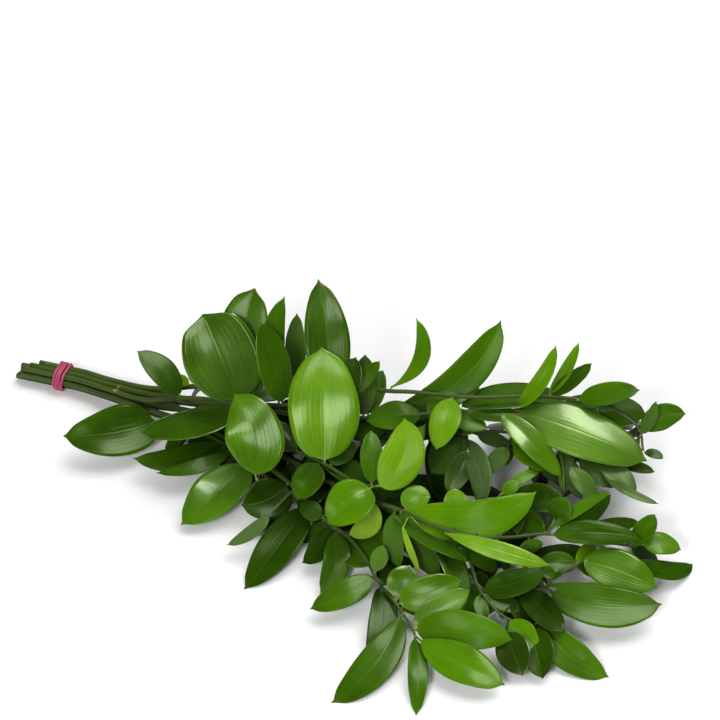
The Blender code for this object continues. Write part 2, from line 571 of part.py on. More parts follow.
def face_outwards(bm):
    """Makes all faces of a closed mesh point outwards."""
    bmesh.ops.recalc_face_normals(bm, faces=bm.faces)
    if bm.calc_volume(signed=True) < 0:
        bmesh.ops.reverse_faces(bm, faces=bm.faces)


def route_radii(route, first, last):
    """Radii that shrink along a route, faster towards its end."""
    steps = len(route) - 1
    return [first + (last - first) * (i / steps) ** STALK_TAPER for i in range(steps + 1)]


def leaf_mesh(leaf):
    """A leaf as a thin solid: a grid, split into triangles, given its thickness, then shaped."""
    rows = BLADE_ROWS + 1
    bm = bmesh.new()
    bmesh.ops.create_grid(bm, x_segments=rows, y_segments=2, size=1)
    bmesh.ops.triangulate(bm, faces=bm.faces)
    under = bmesh.ops.extrude_face_region(bm, geom=bm.faces[:])["geom"]
    moved = [v for v in under if isinstance(v, bmesh.types.BMVert)]
    bmesh.ops.translate(bm, verts=moved, vec=(0, 0, -1))
    for end in (-1, 1):
        for layer in (0, -1):
            row = [v for v in bm.verts if abs(v.co.x - end) < 0.01 and abs(v.co.z - layer) < 0.01]
            bmesh.ops.pointmerge(bm, verts=row, merge_co=(end, 0, layer))
    for vert in bm.verts:
        row = round((vert.co.x + 1) / 2 * rows)
        along = -1 if row == 0 else (row - 1) / BLADE_ROWS
        side = 1 if vert.co.z > -0.5 else -1
        vert.co = blade_point(leaf, along, vert.co.y, side * BLADE_THICKNESS / 2)
    face_outwards(bm)
    mesh = bpy.data.meshes.new("leaf")
    bm.to_mesh(mesh)
    bm.free()
    return mesh


def join_all(base, others):
    """Joins objects into the first one with one Boolean, then removes them."""
    group = bpy.data.collections.new("joined")
    bpy.context.scene.collection.children.link(group)
    for piece in others:
        bpy.context.scene.collection.objects.unlink(piece)
        group.objects.link(piece)
    boolean = base.modifiers.new("join", "BOOLEAN")
    boolean.operation = "UNION"
    boolean.operand_type = "COLLECTION"
    boolean.collection = group
    boolean.solver = "MANIFOLD"
    graph = bpy.context.evaluated_depsgraph_get()
    joined = bpy.data.meshes.new_from_object(base.evaluated_get(graph))
    base.modifiers.remove(boolean)
    keep_main_body(joined)
    base.data = joined
    for piece in others:
        bpy.data.objects.remove(piece)
    bpy.data.collections.remove(group)


def keep_main_body(mesh):
    """Fills the small hollows that joining seals and drops loose scraps."""
    bm = bmesh.new()
    bm.from_mesh(mesh)
    bodies, seen = [], set()
    for start in bm.verts:
        if start in seen:
            continue
        body, edge = {start}, [start]
        while edge:
            for link in edge.pop().link_edges:
                for vert in link.verts:
                    if vert not in body:
                        body.add(vert)
                        edge.append(vert)
        seen |= body
        bodies.append(body)
    bodies.sort(key=len)
    for body in bodies[:-1]:
        bmesh.ops.delete(bm, geom=list(body), context="VERTS")
    bm.to_mesh(mesh)
    bm.free()


def make_stem(stem, routes, leaves, material):
    """One leafy stem: its stalk, twigs and leaves as one solid."""
    main, *sides = routes
    stalk = add_object(f"ruscus_stem_{stem}",
                       tube_mesh(main, route_radii(main, STALK_RADIUS, STALK_TIP_RADIUS),
                                 STALK_SIDES), material)
    parts = [add_object("twig", tube_mesh(side, [TWIG_RADIUS] * len(side), TWIG_SIDES), material)
             for side in sides]
    parts += [add_object("leaf", leaf_mesh(leaf), material) for leaf in leaves]
    join_all(stalk, parts)
    return stalk


def band_loop(shift, slant):
    """One winding of the band: the outline of the bundle, a set way outside it."""
    heading = Vector((math.cos(BUNDLE_HEADING), math.sin(BUNDLE_HEADING), 0))
    to_back = Vector((-heading.y, heading.x, 0))
    centre = from_view(*BUNDLE_STATIONS[BAND_STATION][:3]) + heading * shift
    row_height = STALK_PITCH * math.sqrt(3) / 2
    corners = [(1.5, 0), (1, 1), (-1, 1), (-1.5, 0), (-1, -1), (1, -1)]
    reach = STALK_RADIUS + BAND_GAP + BAND_RADIUS
    loop = []
    for i, (back, row) in enumerate(corners):
        middle = Vector((back * STALK_PITCH, row * row_height))
        for angle in (60 * i - BAND_CORNER, 60 * i + BAND_CORNER):
            out = Vector((math.cos(math.radians(angle)), math.sin(math.radians(angle))))
            place = middle + out * reach
            skew = heading * slant * place.y
            loop.append(centre + to_back * place.x + Vector((0, 0, place.y)) + skew)
    return loop


def make_band(material):
    """The tie: windings side by side, the last one slanting, as one ring."""
    pieces = []
    for shift, slant in BAND_WINDINGS:
        loop = band_loop(shift, slant)
        mesh = tube_mesh(loop, [BAND_RADIUS] * len(loop), BAND_SIDES, closed=True)
        pieces.append(add_object("rubber_band", mesh, material))
    join_all(pieces[0], pieces[1:])
    return pieces[0]


def stalk_shells(routes):
    """Trees of all stalks and twigs with the clearance round them."""
    shells = []
    for stem, lines in routes.items():
        for i, line in enumerate(lines):
            radii = route_radii(line, STALK_RADIUS, STALK_TIP_RADIUS) if i == 0 else (
                [TWIG_RADIUS] * len(line))
            mesh = tube_mesh(line, [r + CLEARANCE for r in radii], STALK_SIDES)
            points = [v.co.copy() for v in mesh.vertices]
            faces = [p.vertices[:] for p in mesh.polygons]
            shells.append((BVHTree.FromPolygons(points, faces), box_of(points), stem))
            bpy.data.meshes.remove(mesh)
    return shells


def main():
    for old in list(bpy.data.objects):
        bpy.data.objects.remove(old)
    routes = {stem: stem_routes(stem) for stem in STEMS}
    wanted = [leaf_in_view(routes, entry) for entry in LEAVES_IN_VIEW] + leaves_behind(routes)
    leaves = settle(wanted, len(LEAVES_IN_VIEW), stalk_shells(routes))
    print(f"{len(leaves)} of {len(wanted)} leaves placed")
    for stem in STEMS:
        own = [leaf for leaf in leaves if leaf.stem == stem]
        green = material_for(f"ruscus_leaf_{stem}", (0.06, 0.2, 0.01), 0.45)
        make_stem(stem, routes[stem], own, green)
    make_band(material_for("band_rubber", (0.6, 0.08, 0.18), 0.55))


main()
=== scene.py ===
import math
import random
from collections import namedtuple
from itertools import product

import bmesh
import bpy
from mathutils import Matrix, Vector
from mathutils.bvhtree import BVHTree
from mathutils.kdtree import KDTree


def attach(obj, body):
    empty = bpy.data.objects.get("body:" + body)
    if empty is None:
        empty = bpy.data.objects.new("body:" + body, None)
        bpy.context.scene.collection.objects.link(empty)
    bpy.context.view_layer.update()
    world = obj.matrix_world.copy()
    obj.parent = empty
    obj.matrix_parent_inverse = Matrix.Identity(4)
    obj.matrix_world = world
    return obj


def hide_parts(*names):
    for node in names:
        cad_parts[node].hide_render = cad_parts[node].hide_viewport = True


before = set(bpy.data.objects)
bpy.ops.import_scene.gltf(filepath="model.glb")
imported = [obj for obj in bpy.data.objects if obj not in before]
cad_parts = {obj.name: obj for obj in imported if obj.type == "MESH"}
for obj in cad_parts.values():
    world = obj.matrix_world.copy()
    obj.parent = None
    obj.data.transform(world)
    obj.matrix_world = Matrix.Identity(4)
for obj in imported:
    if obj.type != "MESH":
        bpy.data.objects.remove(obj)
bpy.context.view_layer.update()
mm = 0.001

# The plane that the viewer sees: a place is given by steps across and down it, and a height in mm
viewPlane = dict(elevation=41, distance=2.0, step=0.8 * mm, middle=360,
                 shift=Vector((14 * mm, 193.1 * mm, 0)))
tilt = math.radians(viewPlane["elevation"])
rightWay = Vector((1, 0, 0))
awayWay = Vector((0, math.cos(tilt), -math.sin(tilt)))
upWay = Vector((0, math.sin(tilt), math.cos(tilt)))
eye = viewPlane["shift"] - awayWay * viewPlane["distance"]


def fromView(across, down, height):
    u = (across - viewPlane["middle"]) * viewPlane["step"]
    v = (viewPlane["middle"] - down) * viewPlane["step"]
    ray = awayWay * viewPlane["distance"] + rightWay * u + upWay * v
    return eye + ray * ((height * mm - eye.z) / ray.z)


def seenAt(point):
    ray = point - eye
    scale = viewPlane["distance"] / ray.dot(awayWay)
    return (viewPlane["middle"] + ray.dot(rightWay) * scale / viewPlane["step"],
            viewPlane["middle"] - ray.dot(upWay) * scale / viewPlane["step"])


# The camera stands where the viewer stood
cameraData = bpy.data.cameras.new("viewer")
cameraData.sensor_width = 36
planeWidth = 2 * viewPlane["middle"] * viewPlane["step"]
cameraData.lens = cameraData.sensor_width * viewPlane["distance"] / planeWidth
camera = bpy.data.objects.new("viewer", cameraData)
camera.location = eye
camera.rotation_euler = (math.pi / 2 - tilt, 0, 0)
bpy.context.scene.collection.objects.link(camera)
bpy.context.scene.camera = camera
print("camera set")

# The stalks: place in the bundle, length short of the longest end, main stalk and side twigs
stalkLook = dict(radius=2.35 * mm, tipRadius=0.9 * mm, pitch=5.0 * mm, taper=1.25, twigRadius=1.0 * mm,
                 longestEnd=16 * mm, frameSpacing=30 * mm, spacing=5 * mm, sides=14, twigSides=8,
                 heading=math.radians(-19), ribs=5, ribDepth=0.035, testShare=0.8,
                 shadeLift=2 * mm, cutWithin=1 * mm)
bundleWay = Vector((math.cos(stalkLook["heading"]), math.sin(stalkLook["heading"]), 0))
bundleBack = Vector((-bundleWay.y, bundleWay.x, 0))
rowRise = math.sqrt(3) / 2  # each row of stalks lies in the dips of the row below
# Steps across and down, height in mm, and how far apart the stalks are for their pitch in the tie
bundleStations = [(38, 371, 8.9, 1.02), (63, 376.3, 9.4, 1.0), (82, 380.3, 10.3, 1.02),
                   (110, 389, 13.2, 1.05), (150, 400, 19, 1.4)]
stems = {
    "a": dict(place=(1, 2), short=24, routes=[
        [(200, 386, 38), (245, 384, 48), (298, 382, 58), (345, 387, 66), (390, 391, 72),
         (415, 392, 75), (470, 397, 78), (545, 396, 78), (600, 404, 72), (637, 426, 63),
         (643, 450, 57)]]),
    "b": dict(place=(0, 2), short=10, routes=[
        [(200, 400, 38), (240, 407, 45), (300, 415, 54), (366, 418, 60), (425, 414, 66),
         (470, 411, 68), (515, 410, 68), (560, 404, 66), (600, 410, 62)]]),
    "j": dict(place=(-1, 2), short=5, routes=[
        [(190, 398, 47), (235, 402, 60), (283, 405, 70), (325, 402, 78), (352, 396, 82)]]),
    "h": dict(place=(1.5, 1), short=15, routes=[
        [(210, 406, 25), (260, 414, 30), (330, 428, 38), (400, 440, 44), (455, 434, 48),
         (505, 432, 50), (560, 446, 48), (594, 456, 45), (606, 479, 40)]]),
    "d": dict(place=(0.5, 1), short=1, routes=[
        [(205, 420, 22), (260, 444, 24), (330, 482, 32), (375, 501, 40), (402, 511, 44),
         (432, 525, 44), (475, 537, 42), (512, 537, 38), (546, 534, 36), (590, 540, 30),
         (636, 547, 24)],
        [(475, 537, 42), (486, 518, 38), (496, 500, 38), (508, 487, 40)],
        [(546, 534, 36), (559, 520, 37), (569, 508, 36)],
        [(590, 540, 30), (612, 552, 26), (629, 561, 22)]]),
    "c": dict(place=(-0.5, 1), short=3, routes=[
        [(205, 414, 33), (255, 432, 40), (295, 450, 46), (325, 464, 50), (355, 482, 54),
         (376, 487, 58)],
        [(235, 426, 37), (248, 452, 42), (257, 480, 44)]]),
    "e": dict(place=(-1.5, 1), short=3, routes=[
        [(205, 428, 23), (245, 450, 24), (290, 484, 24), (325, 520, 23), (348, 537, 22),
         (366, 560, 20), (379, 582, 18), (396, 604, 17), (411, 626, 16), (416, 638, 15)]]),
    "g": dict(place=(1, 0), short=14, routes=[
        [(210, 408, 13), (300, 444, 13), (380, 488, 14), (450, 528, 17), (500, 552, 20),
         (532, 572, 20), (552, 592, 18)],
        [(532, 572, 20), (558, 574, 21), (582, 562, 22)]]),
    "f": dict(place=(0, 0), short=8, routes=[
        [(210, 417, 13), (300, 463, 16), (370, 503, 24), (412, 518, 28), (438, 532, 29),
         (465, 550, 27), (480, 590, 22), (506, 618, 18), (538, 625, 15)]]),
    "i": dict(place=(-1, 0), short=0, routes=[
        [(190, 428, 13), (225, 444, 15), (246, 462, 17), (276, 484, 16), (303, 508, 15)],
        [(190, 428, 13), (172, 424, 17), (157, 421, 20)]]),
}


def squareTo(axis, way):
    return (way - axis * way.dot(axis)).normalized()


def smoothRoute(points, spacing):
    ends = [points[0] * 2 - points[1], *points, points[-1] * 2 - points[-2]]
    route = [points[0]]
    for before, start, end, after in zip(ends, ends[1:], ends[2:], ends[3:]):
        count = max(1, round((end - start).length / spacing))
        for i in range(1, count + 1):
            t = i / count
            route.append(0.5 * (2 * start + (end - before) * t
                                + (2 * before - 5 * start + 4 * end - after) * t ** 2
                                + (3 * start - before - 3 * end + after) * t ** 3))
    return route


def placeInBundle(stem, station):
    across, down, height, spread = bundleStations[station]
    back, row = stems[stem]["place"]
    pitch = stalkLook["pitch"] * spread
    rise = (row - 1) * pitch * rowRise
    return fromView(across, down, height) + bundleBack * back * pitch + Vector((0, 0, rise))


def stemRoutes(stem, spacing):
    stations = [placeInBundle(stem, i) for i in range(len(bundleStations))]
    heading = (stations[0] - stations[1]).normalized()
    stations.insert(0, stations[0] + heading * (stalkLook["longestEnd"] - stems[stem]["short"] * mm))
    main, *sides = stems[stem]["routes"]
    routes = [smoothRoute(stations + [fromView(*p) for p in main], spacing)]
    for side in sides:
        start = min(routes[0], key=lambda p: (p - fromView(*side[0])).length)
        routes.append(smoothRoute([start] + [fromView(*p) for p in side[1:]], spacing))
    return routes


# The leaves in view: stem, start and tip of the blade in steps, rise in mm, width in steps,
# lean of the face right and up, tone from dark to bright, then the blade's own form and its share of painted
# sheen
leavesInView = [
    ("c", (325, 463), (322, 347), 62, 72, (0.05, 0.1), 0.7, dict(arch=0.05, full=0.6)),
    ("c", (257, 482), (234, 394), 48, 58, (-0.1, 0.2), 0.48, dict(arch=0.08, bow=-0.12, fold=4)),
    ("j", (239, 402), (203, 314), 58, 76, (-0.15, 0.1), 0.34, dict(bow=-0.02, fold=4, full=0.4, widest=0.5)),
    ("j", (249, 397), (255, 288), 64, 54, (-0.2, 0.3), 0.4, dict(bow=0.07, full=0.5)),
    ("j", (279, 400), (285, 296), 60, 26, (0.4, 0.2), 0.4, dict(bow=0.12)),
    ("j", (283, 419), (261, 322), 56, 33, (0.5, -0.1), 0.34, dict(arch=0.03)),
    ("j", (328, 402), (318, 279), 62, 46, (0.1, 0.2), 0.3, dict(bow=-0.03)),
    ("j", (352, 398), (380, 361), 22, 17, (0.2, 0.2), 0.3),
    ("j", (346, 402), (356, 357), 28, 27, (0.2, 0.2), 0.15),
    ("j", (181, 400), (137, 351), 26, 26, (0.1, 0.9), 0.22, dict(bow=-0.06, dull=1)),
    ("b", (236, 410), (142, 433), -6, 44, (0.0, 0.4), 0.3, dict(arch=0.06, bow=0.04, full=0.6)),
    ("i", (154, 421), (63, 436), 4, 52, (-0.1, 0.3), 0.3, dict(arch=0.05, bow=0.07, widest=0.36, dull=1)),
    ("c", (380, 486), (404, 418), 36, 44, (0.1, 0.2), 0.85, dict(arch=0.03, bow=-0.16, dull=1)),
    ("c", (376, 486), (328, 524), -14, 46, (-0.2, 0.3), 0.6, dict(arch=0.12, fold=20, dull=1)),
    ("c", (372, 484), (371, 430), 20, 24, (0.2, 0.5), 0.4),
    ("c", (384, 484), (426, 424), 22, 24, (0.2, 0.3), 0.6),
    ("c", (300, 452), (262, 420), 14, 26, (-0.2, 0.6), 0.2),
    ("a", (297, 382), (297, 313), 42, 21, (-0.3, 0.2), 0.5, dict(pale=0.5)),
    ("a", (390, 391), (416, 318), 44, 18, (-0.4, -0.1), 0.6, dict(arch=0, bow=-0.26, twist=60, widest=0.6)),
    ("a", (548, 395), (579, 342), 32, 16, (-0.3, 0.2), 0.7, dict(bow=-0.07, fold=42)),
    ("a", (548, 400), (592, 363), 20, 17, (0.2, -0.3), 0.3),
    ("a", (576, 401), (640, 390), 10, 23, (0.0, 0.5), 0.4, dict(bow=0.01)),
    ("a", (636, 438), (656, 401), 22, 13, (0.3, 0.3), 0.3, dict(bow=-0.05, pale=0.4)),
    ("a", (643, 430), (686, 414), 8, 26, (0.2, 0.4), 0.3, dict(bow=0.12, dull=1)),
    ("a", (645, 453), (663, 459), -1, 10, (0.0, 0.6), 0.2, dict(bow=0.1)),
    ("a", (202, 391), (191, 366), 18, 16, (-0.2, 0.3), 0.9),
    ("a", (192, 389), (175, 376), 8, 11, (-0.2, 0.5), 0.93),
    ("b", (401, 404), (501, 320), 52, 36, (0.3, 0.1), 0.42, dict(bow=-0.145, fold=14, widest=0.56, dull=1)),
    ("b", (424, 412), (480, 388), 10, 22, (0.0, 0.6), 0.5, dict(bow=0.06)),
    ("b", (424, 415), (366, 421), -3, 28, (-0.1, 0.8), 0.35, dict(arch=0.05, dull=1)),
    ("a", (452, 399), (436, 450), -16, 31, (-0.1, 0.1), 0.8, dict(arch=0.08, dull=1)),
    ("b", (462, 406), (567, 400), 4, 38, (0.1, 0.5), 0.35, dict(bow=0.06)),
    ("b", (515, 410), (556, 345), 42, 22, (-0.3, 0.1), 0.75, dict(bow=-0.12, fold=42)),
    ("b", (515, 412), (647, 461), -24, 52, (0.1, 0.4), 0.6,
     dict(arch=0.05, bow=0.01, fold=-14, full=0.6, pale=0.2)),
    ("b", (502, 414), (562, 478), -32, 26, (0.2, 0.3), 0.5, dict(arch=0.08)),
    ("h", (458, 429), (478, 425), 6, 12, (0.0, 0.5), 0.7),
    ("b", (462, 414), (532, 420), -4, 17, (0.0, 0.6), 0.3),
    ("b", (600, 412), (646, 414), 2, 28, (0.0, 0.4), 0.3, dict(bow=0.02, dull=1)),
    ("b", (363, 415), (365, 354), 34, 27, (0.2, 0.1), 0.25),
    ("b", (368, 413), (383, 370), 24, 18, (0.3, 0.2), 0.4),
    ("h", (552, 440), (622, 462), -8, 24, (0.0, 0.3), 0.15),
    ("d", (402, 512), (431, 497), 6, 28, (0.0, 0.3), 0.7, dict(bow=0.16)),
    ("d", (403, 514), (537, 491), 12, 42, (0.0, 0.3), 0.65, dict(arch=0.06, bow=-0.17, fold=12, dull=1)),
    ("d", (445, 533), (551, 566), -10, 19, (0.0, 0.3), 0.85,
     dict(arch=0, bow=-0.02, fold=-10, widest=0.55, dull=0)),
    ("d", (400, 514), (440, 578), -34, 30, (0.1, 0.1), 0.45, dict(arch=0.05)),
    ("d", (394, 514), (399, 568), -34, 24, (-0.3, 0.1), 0.5, dict(arch=0.05, pale=0.4)),
    ("d", (403, 528), (420, 573), -20, 7, (-0.6, 0.2), 0.95),
    ("d", (458, 516), (453, 488), 14, 26, (0.0, 0.4), 0.8),
    ("d", (573, 506), (512, 494), -2, 30, (0.0, 0.5), 0.15, dict(bow=-0.05, fold=22, dull=1)),
    ("d", (556, 524), (566, 497), 12, 28, (0.1, 0.3), 0.4),
    ("d", (527, 522), (532, 554), -14, 25, (0.1, 0.2), 0.4, dict(arch=0.08)),
    ("d", (549, 527), (611, 492), 20, 12, (-0.1, 0.4), 0.5, dict(bow=0.03)),
    ("d", (560, 529), (611, 494), 16, 24, (0.3, 0.1), 0.3, dict(bow=-0.04)),
    ("d", (550, 535), (641, 539), -2, 25, (0.0, 0.4), 0.25, dict(bow=0.04, dull=1)),
    ("d", (585, 534), (640, 522), 8, 20, (0.0, 0.5), 0.2, dict(bow=0.03)),
    ("d", (633, 548), (655, 514), 18, 22, (0.3, 0.3), 0.4),
    ("d", (643, 543), (681, 550), -4, 22, (0.1, 0.6), 0.5, dict(bow=0.05)),
    ("d", (634, 562), (693, 564), -22.6, 20, (0.0, 0.6), 0.25, dict(bow=-0.14)),
    ("d", (500, 496), (520, 481), 4, 14, (0.0, 0.5), 0.5),
    ("d", (509, 485), (541, 469), 9, 11, (0.0, 0.4), 0.6),
    ("e", (350, 534), (364, 497), 20, 24, (-0.1, 0.1), 1.0, dict(arch=0, bow=-0.36)),
    ("e", (384, 556), (342, 541), 0, 46, (0.0, 0.5), 0.3, dict(arch=0.06, root=(381, 585), dull=1)),
    ("e", (376, 574), (383, 545), 8, 18, (-0.1, 0.3), 0.5, dict(pale=0.4)),
    ("e", (330, 524), (302, 563), -14, 24, (-0.2, 0.4), 0.1, dict(bow=0.15)),
    ("e", (338, 528), (320, 593), -18, 29, (0.3, 0.3), 0.35, dict(bow=0.11)),
    ("e", (320, 524), (300, 503), 6, 20, (-0.3, 0.4), 0.2),
    ("e", (378, 574), (310, 609), -8, 28, (-0.1, 0.5), 0.4, dict(arch=0.06, bow=0.05, dull=1)),
    ("e", (379, 585), (366, 655), -14, 29, (0.2, 0.5), 0.15, dict(bow=0.12, dull=1)),
    ("e", (400, 616), (331, 704), -17.5, 37, (-0.1, 0.5), 0.3, dict(bow=0.1, widest=0.5, dull=1)),
    ("e", (414, 637), (416, 716), -15.5, 20, (0.6, 0.5), 0.4, dict(bow=0.02, twist=50)),
    ("e", (395, 601), (410, 565), 14, 32, (0.0, 0.3), 0.4, dict(arch=0.06)),
    ("e", (400, 603), (462, 580), 14, 34, (0.0, 0.3), 0.55, dict(arch=0.06)),
    ("e", (412, 625), (470, 590), 20, 28, (0.1, 0.1), 0.6, dict(pale=0.2)),
    ("e", (416, 628), (513, 640), 4, 36, (0.0, 0.5), 0.5, dict(arch=0.06, bow=0.04, dull=1)),
    ("e", (421, 641), (505, 685), -6, 38, (0.0, 0.6), 0.6, dict(arch=0.05, bow=-0.03, widest=0.5, dull=1)),
    ("f", (431, 527), (463, 627), -6, 34, (0.2, 0.1), 0.5, dict(fold=18)),
    ("f", (506, 633), (523, 676), -10, 35, (0.0, 0.6), 0.15, dict(arch=0.05)),
    ("f", (531, 628), (543, 679), -10, 35, (0.1, 0.6), 0.15, dict(dull=1)),
    ("f", (541, 622), (609, 677), -15.2, 32, (0.1, 0.7), 0.45, dict(arch=0.05, bow=-0.1, dull=1)),
    ("f", (507, 619), (538, 650), -6, 28, (0.1, 0.3), 0.6, dict(fold=28, dull=1)),
    ("f", (478, 597), (485, 622), -6, 15, (0.1, 0.5), 0.35),
    ("f", (479, 592), (545, 572), 8, 28, (0.0, 0.5), 0.2, dict(bow=-0.05, fold=16, dull=1)),
    ("g", (584, 560), (657, 588), -8, 41, (0.0, 0.4), 0.5, dict(arch=0.05, bow=0.02)),
    ("g", (552, 593), (662, 604), -2, 42, (0.0, 0.6), 0.35, dict(bow=-0.10, dull=1)),
    ("g", (545, 586), (608, 587), 2, 7, (0.0, 0.5), 0.4),
    ("g", (580, 562), (539, 563), 2, 22, (0.0, 0.5), 0.3),
    ("g", (576, 561), (597, 540), 12, 15, (0.1, 0.2), 0.8),
    ("g", (524, 590), (563, 633), -8, 30, (0.1, 0.7), 0.1, dict(dull=1)),
    ("g", (563, 580), (540, 574), 3, 12, (0.0, 0.5), 0.35),
    ("h", (560, 452), (564, 497), -16, 7, (-0.6, 0.3), 0.6, dict(pale=0.9)),
    ("h", (514, 438), (566, 490), -18, 24, (0.1, 0.4), 0.3, dict(bow=0.08, pale=0.4)),
    ("h", (514, 450), (547, 471), -10, 16, (0.0, 0.5), 0.6),
    ("h", (513, 436), (506, 466), -14, 12, (-0.2, 0.1), 0.8),
    ("h", (474, 428), (513, 447), -5, 15, (0.0, 0.4), 0.2, dict(pale=0.4)),
    ("h", (508, 448), (485, 474), -10, 18, (-0.1, 0.4), 0.25, dict(pale=0.5)),
    ("h", (468, 434), (431, 474), -16, 36, (-0.1, 0.5), 0.4, dict(arch=0.06, pale=0.3, dull=1)),
    ("h", (464, 440), (480, 508), -20, 23, (0.4, 0.3), 0.15, dict(bow=0.1, pale=0.6)),
    ("h", (600, 458), (636, 495), -10, 24, (0.2, 0.5), 0.4, dict(arch=0.05, pale=0.6)),
    ("h", (608, 480), (659, 504), -6, 9, (0.0, 0.5), 0.3, dict(bow=-0.06, pale=0.6)),
    ("h", (580, 453), (611, 488), -12, 28, (0.1, 0.5), 0.3, dict(pale=0.6, dull=1)),
    ("h", (571, 468), (598, 503), -14, 20, (0.1, 0.4), 0.35, dict(root=(576, 453), pale=0.4)),
    ("h", (618, 463), (655, 472), 0, 12, (0.0, 0.4), 0.2),
    ("i", (222, 440), (133, 458), 6, 26, (0.0, 0.5), 0.3, dict(bow=0.14, dull=1)),
    ("i", (216, 447), (180, 476), -4, 20, (-0.2, 0.5), 0.15),
    ("i", (248, 463), (181, 525), -10, 46, (-0.1, 0.5), 0.5, dict(arch=0.06, bow=0.04)),
    ("e", (292, 480), (241, 505), -2, 42, (0.1, 0.2), 0.1, dict(bow=0.12, dull=1)),
    ("e", (268, 515), (227, 545), -11, 14, (-0.1, 0.5), 0.3, dict(bow=0.1, pale=0.8)),
    ("i", (304, 508), (244, 590), -15.6, 38, (-0.1, 0.6), 0.2, dict(arch=0.05, bow=0.04, dull=1)),
    ("c", (318, 464), (297, 500), -14, 30, (-0.1, 0.4), 0.3, dict(dull=1)),
    ("f", (330, 480), (299, 512), -2, 26, (-0.1, 0.5), 0.15),
    ("c", (330, 466), (354, 442), -6, 22, (0.1, 0.5), 0.25),
    ("b", (392, 417), (354, 438), -14, 24, (0.0, 0.5), 0.2),
    ("b", (430, 418), (412, 442), -16, 22, (0.0, 0.4), 0.15),
    ("h", (468, 452), (448, 494), -20, 26, (0.1, 0.4), 0.15),
    ("d", (546, 533), (512, 512), -4, 22, (0.0, 0.5), 0.25),
    ("f", (510, 606), (560, 628), -10, 24, (0.0, 0.6), 0.15),
    ("f", (484, 594), (521, 611), -6, 18, (0.0, 0.6), 0.2),
    ("i", (228, 452), (156, 473), -2, 15, (0.0, 0.5), 0.3, dict(bow=0.12)),
    ("b", (442, 413), (488, 429), -6, 20, (0.0, 0.5), 0.4),
    ("h", (560, 450), (582, 500), -18, 20, (0.1, 0.4), 0.3, dict(pale=0.5)),
]
leavesBehind = dict(a=6, b=6, c=6, d=7, e=6, f=8, g=10, h=7, i=5, j=6)
behindLook = dict(length=(52 * mm, 78 * mm), widthShare=(0.38, 0.5), spread=0.75, away=(0.5, 1.0),
                  onward=(0.2, 0.9), up=(-1, 0.3), offFloor=3 * mm, lean=(-0.5, 0.5), arch=(0.02, 0.1),
                  bow=(-0.06, 0.06), fold=(6, 18), twist=(-20, 20), tone=(0.1, 0.35), seedStep=1000)
leafForm = dict(thickness=0.7 * mm, endWidth=1.5 * mm, rows=5, widest=0.44, full=0.72, mostWidth=62 * mm,
                petiole=3 * mm, rootDepth=0.4 * mm, rootInset=2.5 * mm, twistFrom=0.3, leastSeen=0.5,
                arch=0.04, fold=10, dullBelow=25, dullGloss=0.25, firstSeed=5000)
settling = dict(tipMoves=[0, 5, -5, 10, -10, 16, -16, 23, -23, 31, -31, 40, -40], archMoves=[0, 0.06, -0.06],
                turnMoves=[0, 14, -14, 28, -28], formCost=1.5, near=0.06 * mm, needed=0.3, enough=0.9)
formNames = ["arch", "bow", "fold", "twist", "widest", "full"]
Leaf = namedtuple("Leaf", ["stem", "root", "base", "tip", "width", "facing", *formNames,
                           "tone", "pale", "dull", "seed"])


def nearestSeen(routes, across, down):
    best = None
    for route in routes:
        for start, end in zip(route, route[1:]):
            a, b = Vector(seenAt(start)), Vector(seenAt(end))
            line, gap = b - a, Vector((across, down)) - a
            most = 1 - leafForm["rootInset"] / (end - start).length if end is route[-1] else 1
            share = min(most, max(0, gap.dot(line) / line.length_squared))
            off = (gap - line * share).length
            if best is None or off < best[0]:
                best = (off, start.lerp(end, share))
    return best[1]


def leafInView(routes, entry, seed):
    stem, start, end, rise, width, lean, tone = entry[:7]
    more = dict(*entry[7:])
    root = nearestSeen(routes[stem], *more.get("root", start))
    base = fromView(*start, root.z / mm)
    tip = fromView(*end, root.z / mm + rise)
    if (base - root).length < leafForm["petiole"] or (base - root).dot(tip - base) < 0:
        base = root + (tip - root).normalized() * leafForm["petiole"]
    root -= (base - root).normalized() * leafForm["rootDepth"]
    facing = (rightWay * lean[0] + upWay * lean[1] - awayWay).normalized()
    along = (tip - base).normalized()
    face = squareTo(along, facing)
    side = face.cross(along)
    seenShare = max(leafForm["leastSeen"], math.hypot(side.dot(rightWay), side.dot(upWay)))
    scale = (base - eye).dot(awayWay) / viewPlane["distance"]
    trueWidth = min(leafForm["mostWidth"], width * viewPlane["step"] * scale / seenShare)
    form = [more.get(name, leafForm.get(name, 0)) for name in formNames]
    return Leaf(stem, root, base, tip, trueWidth, face, *form, tone, more.get("pale", 0),
                more.get("dull", width < leafForm["dullBelow"]), seed)


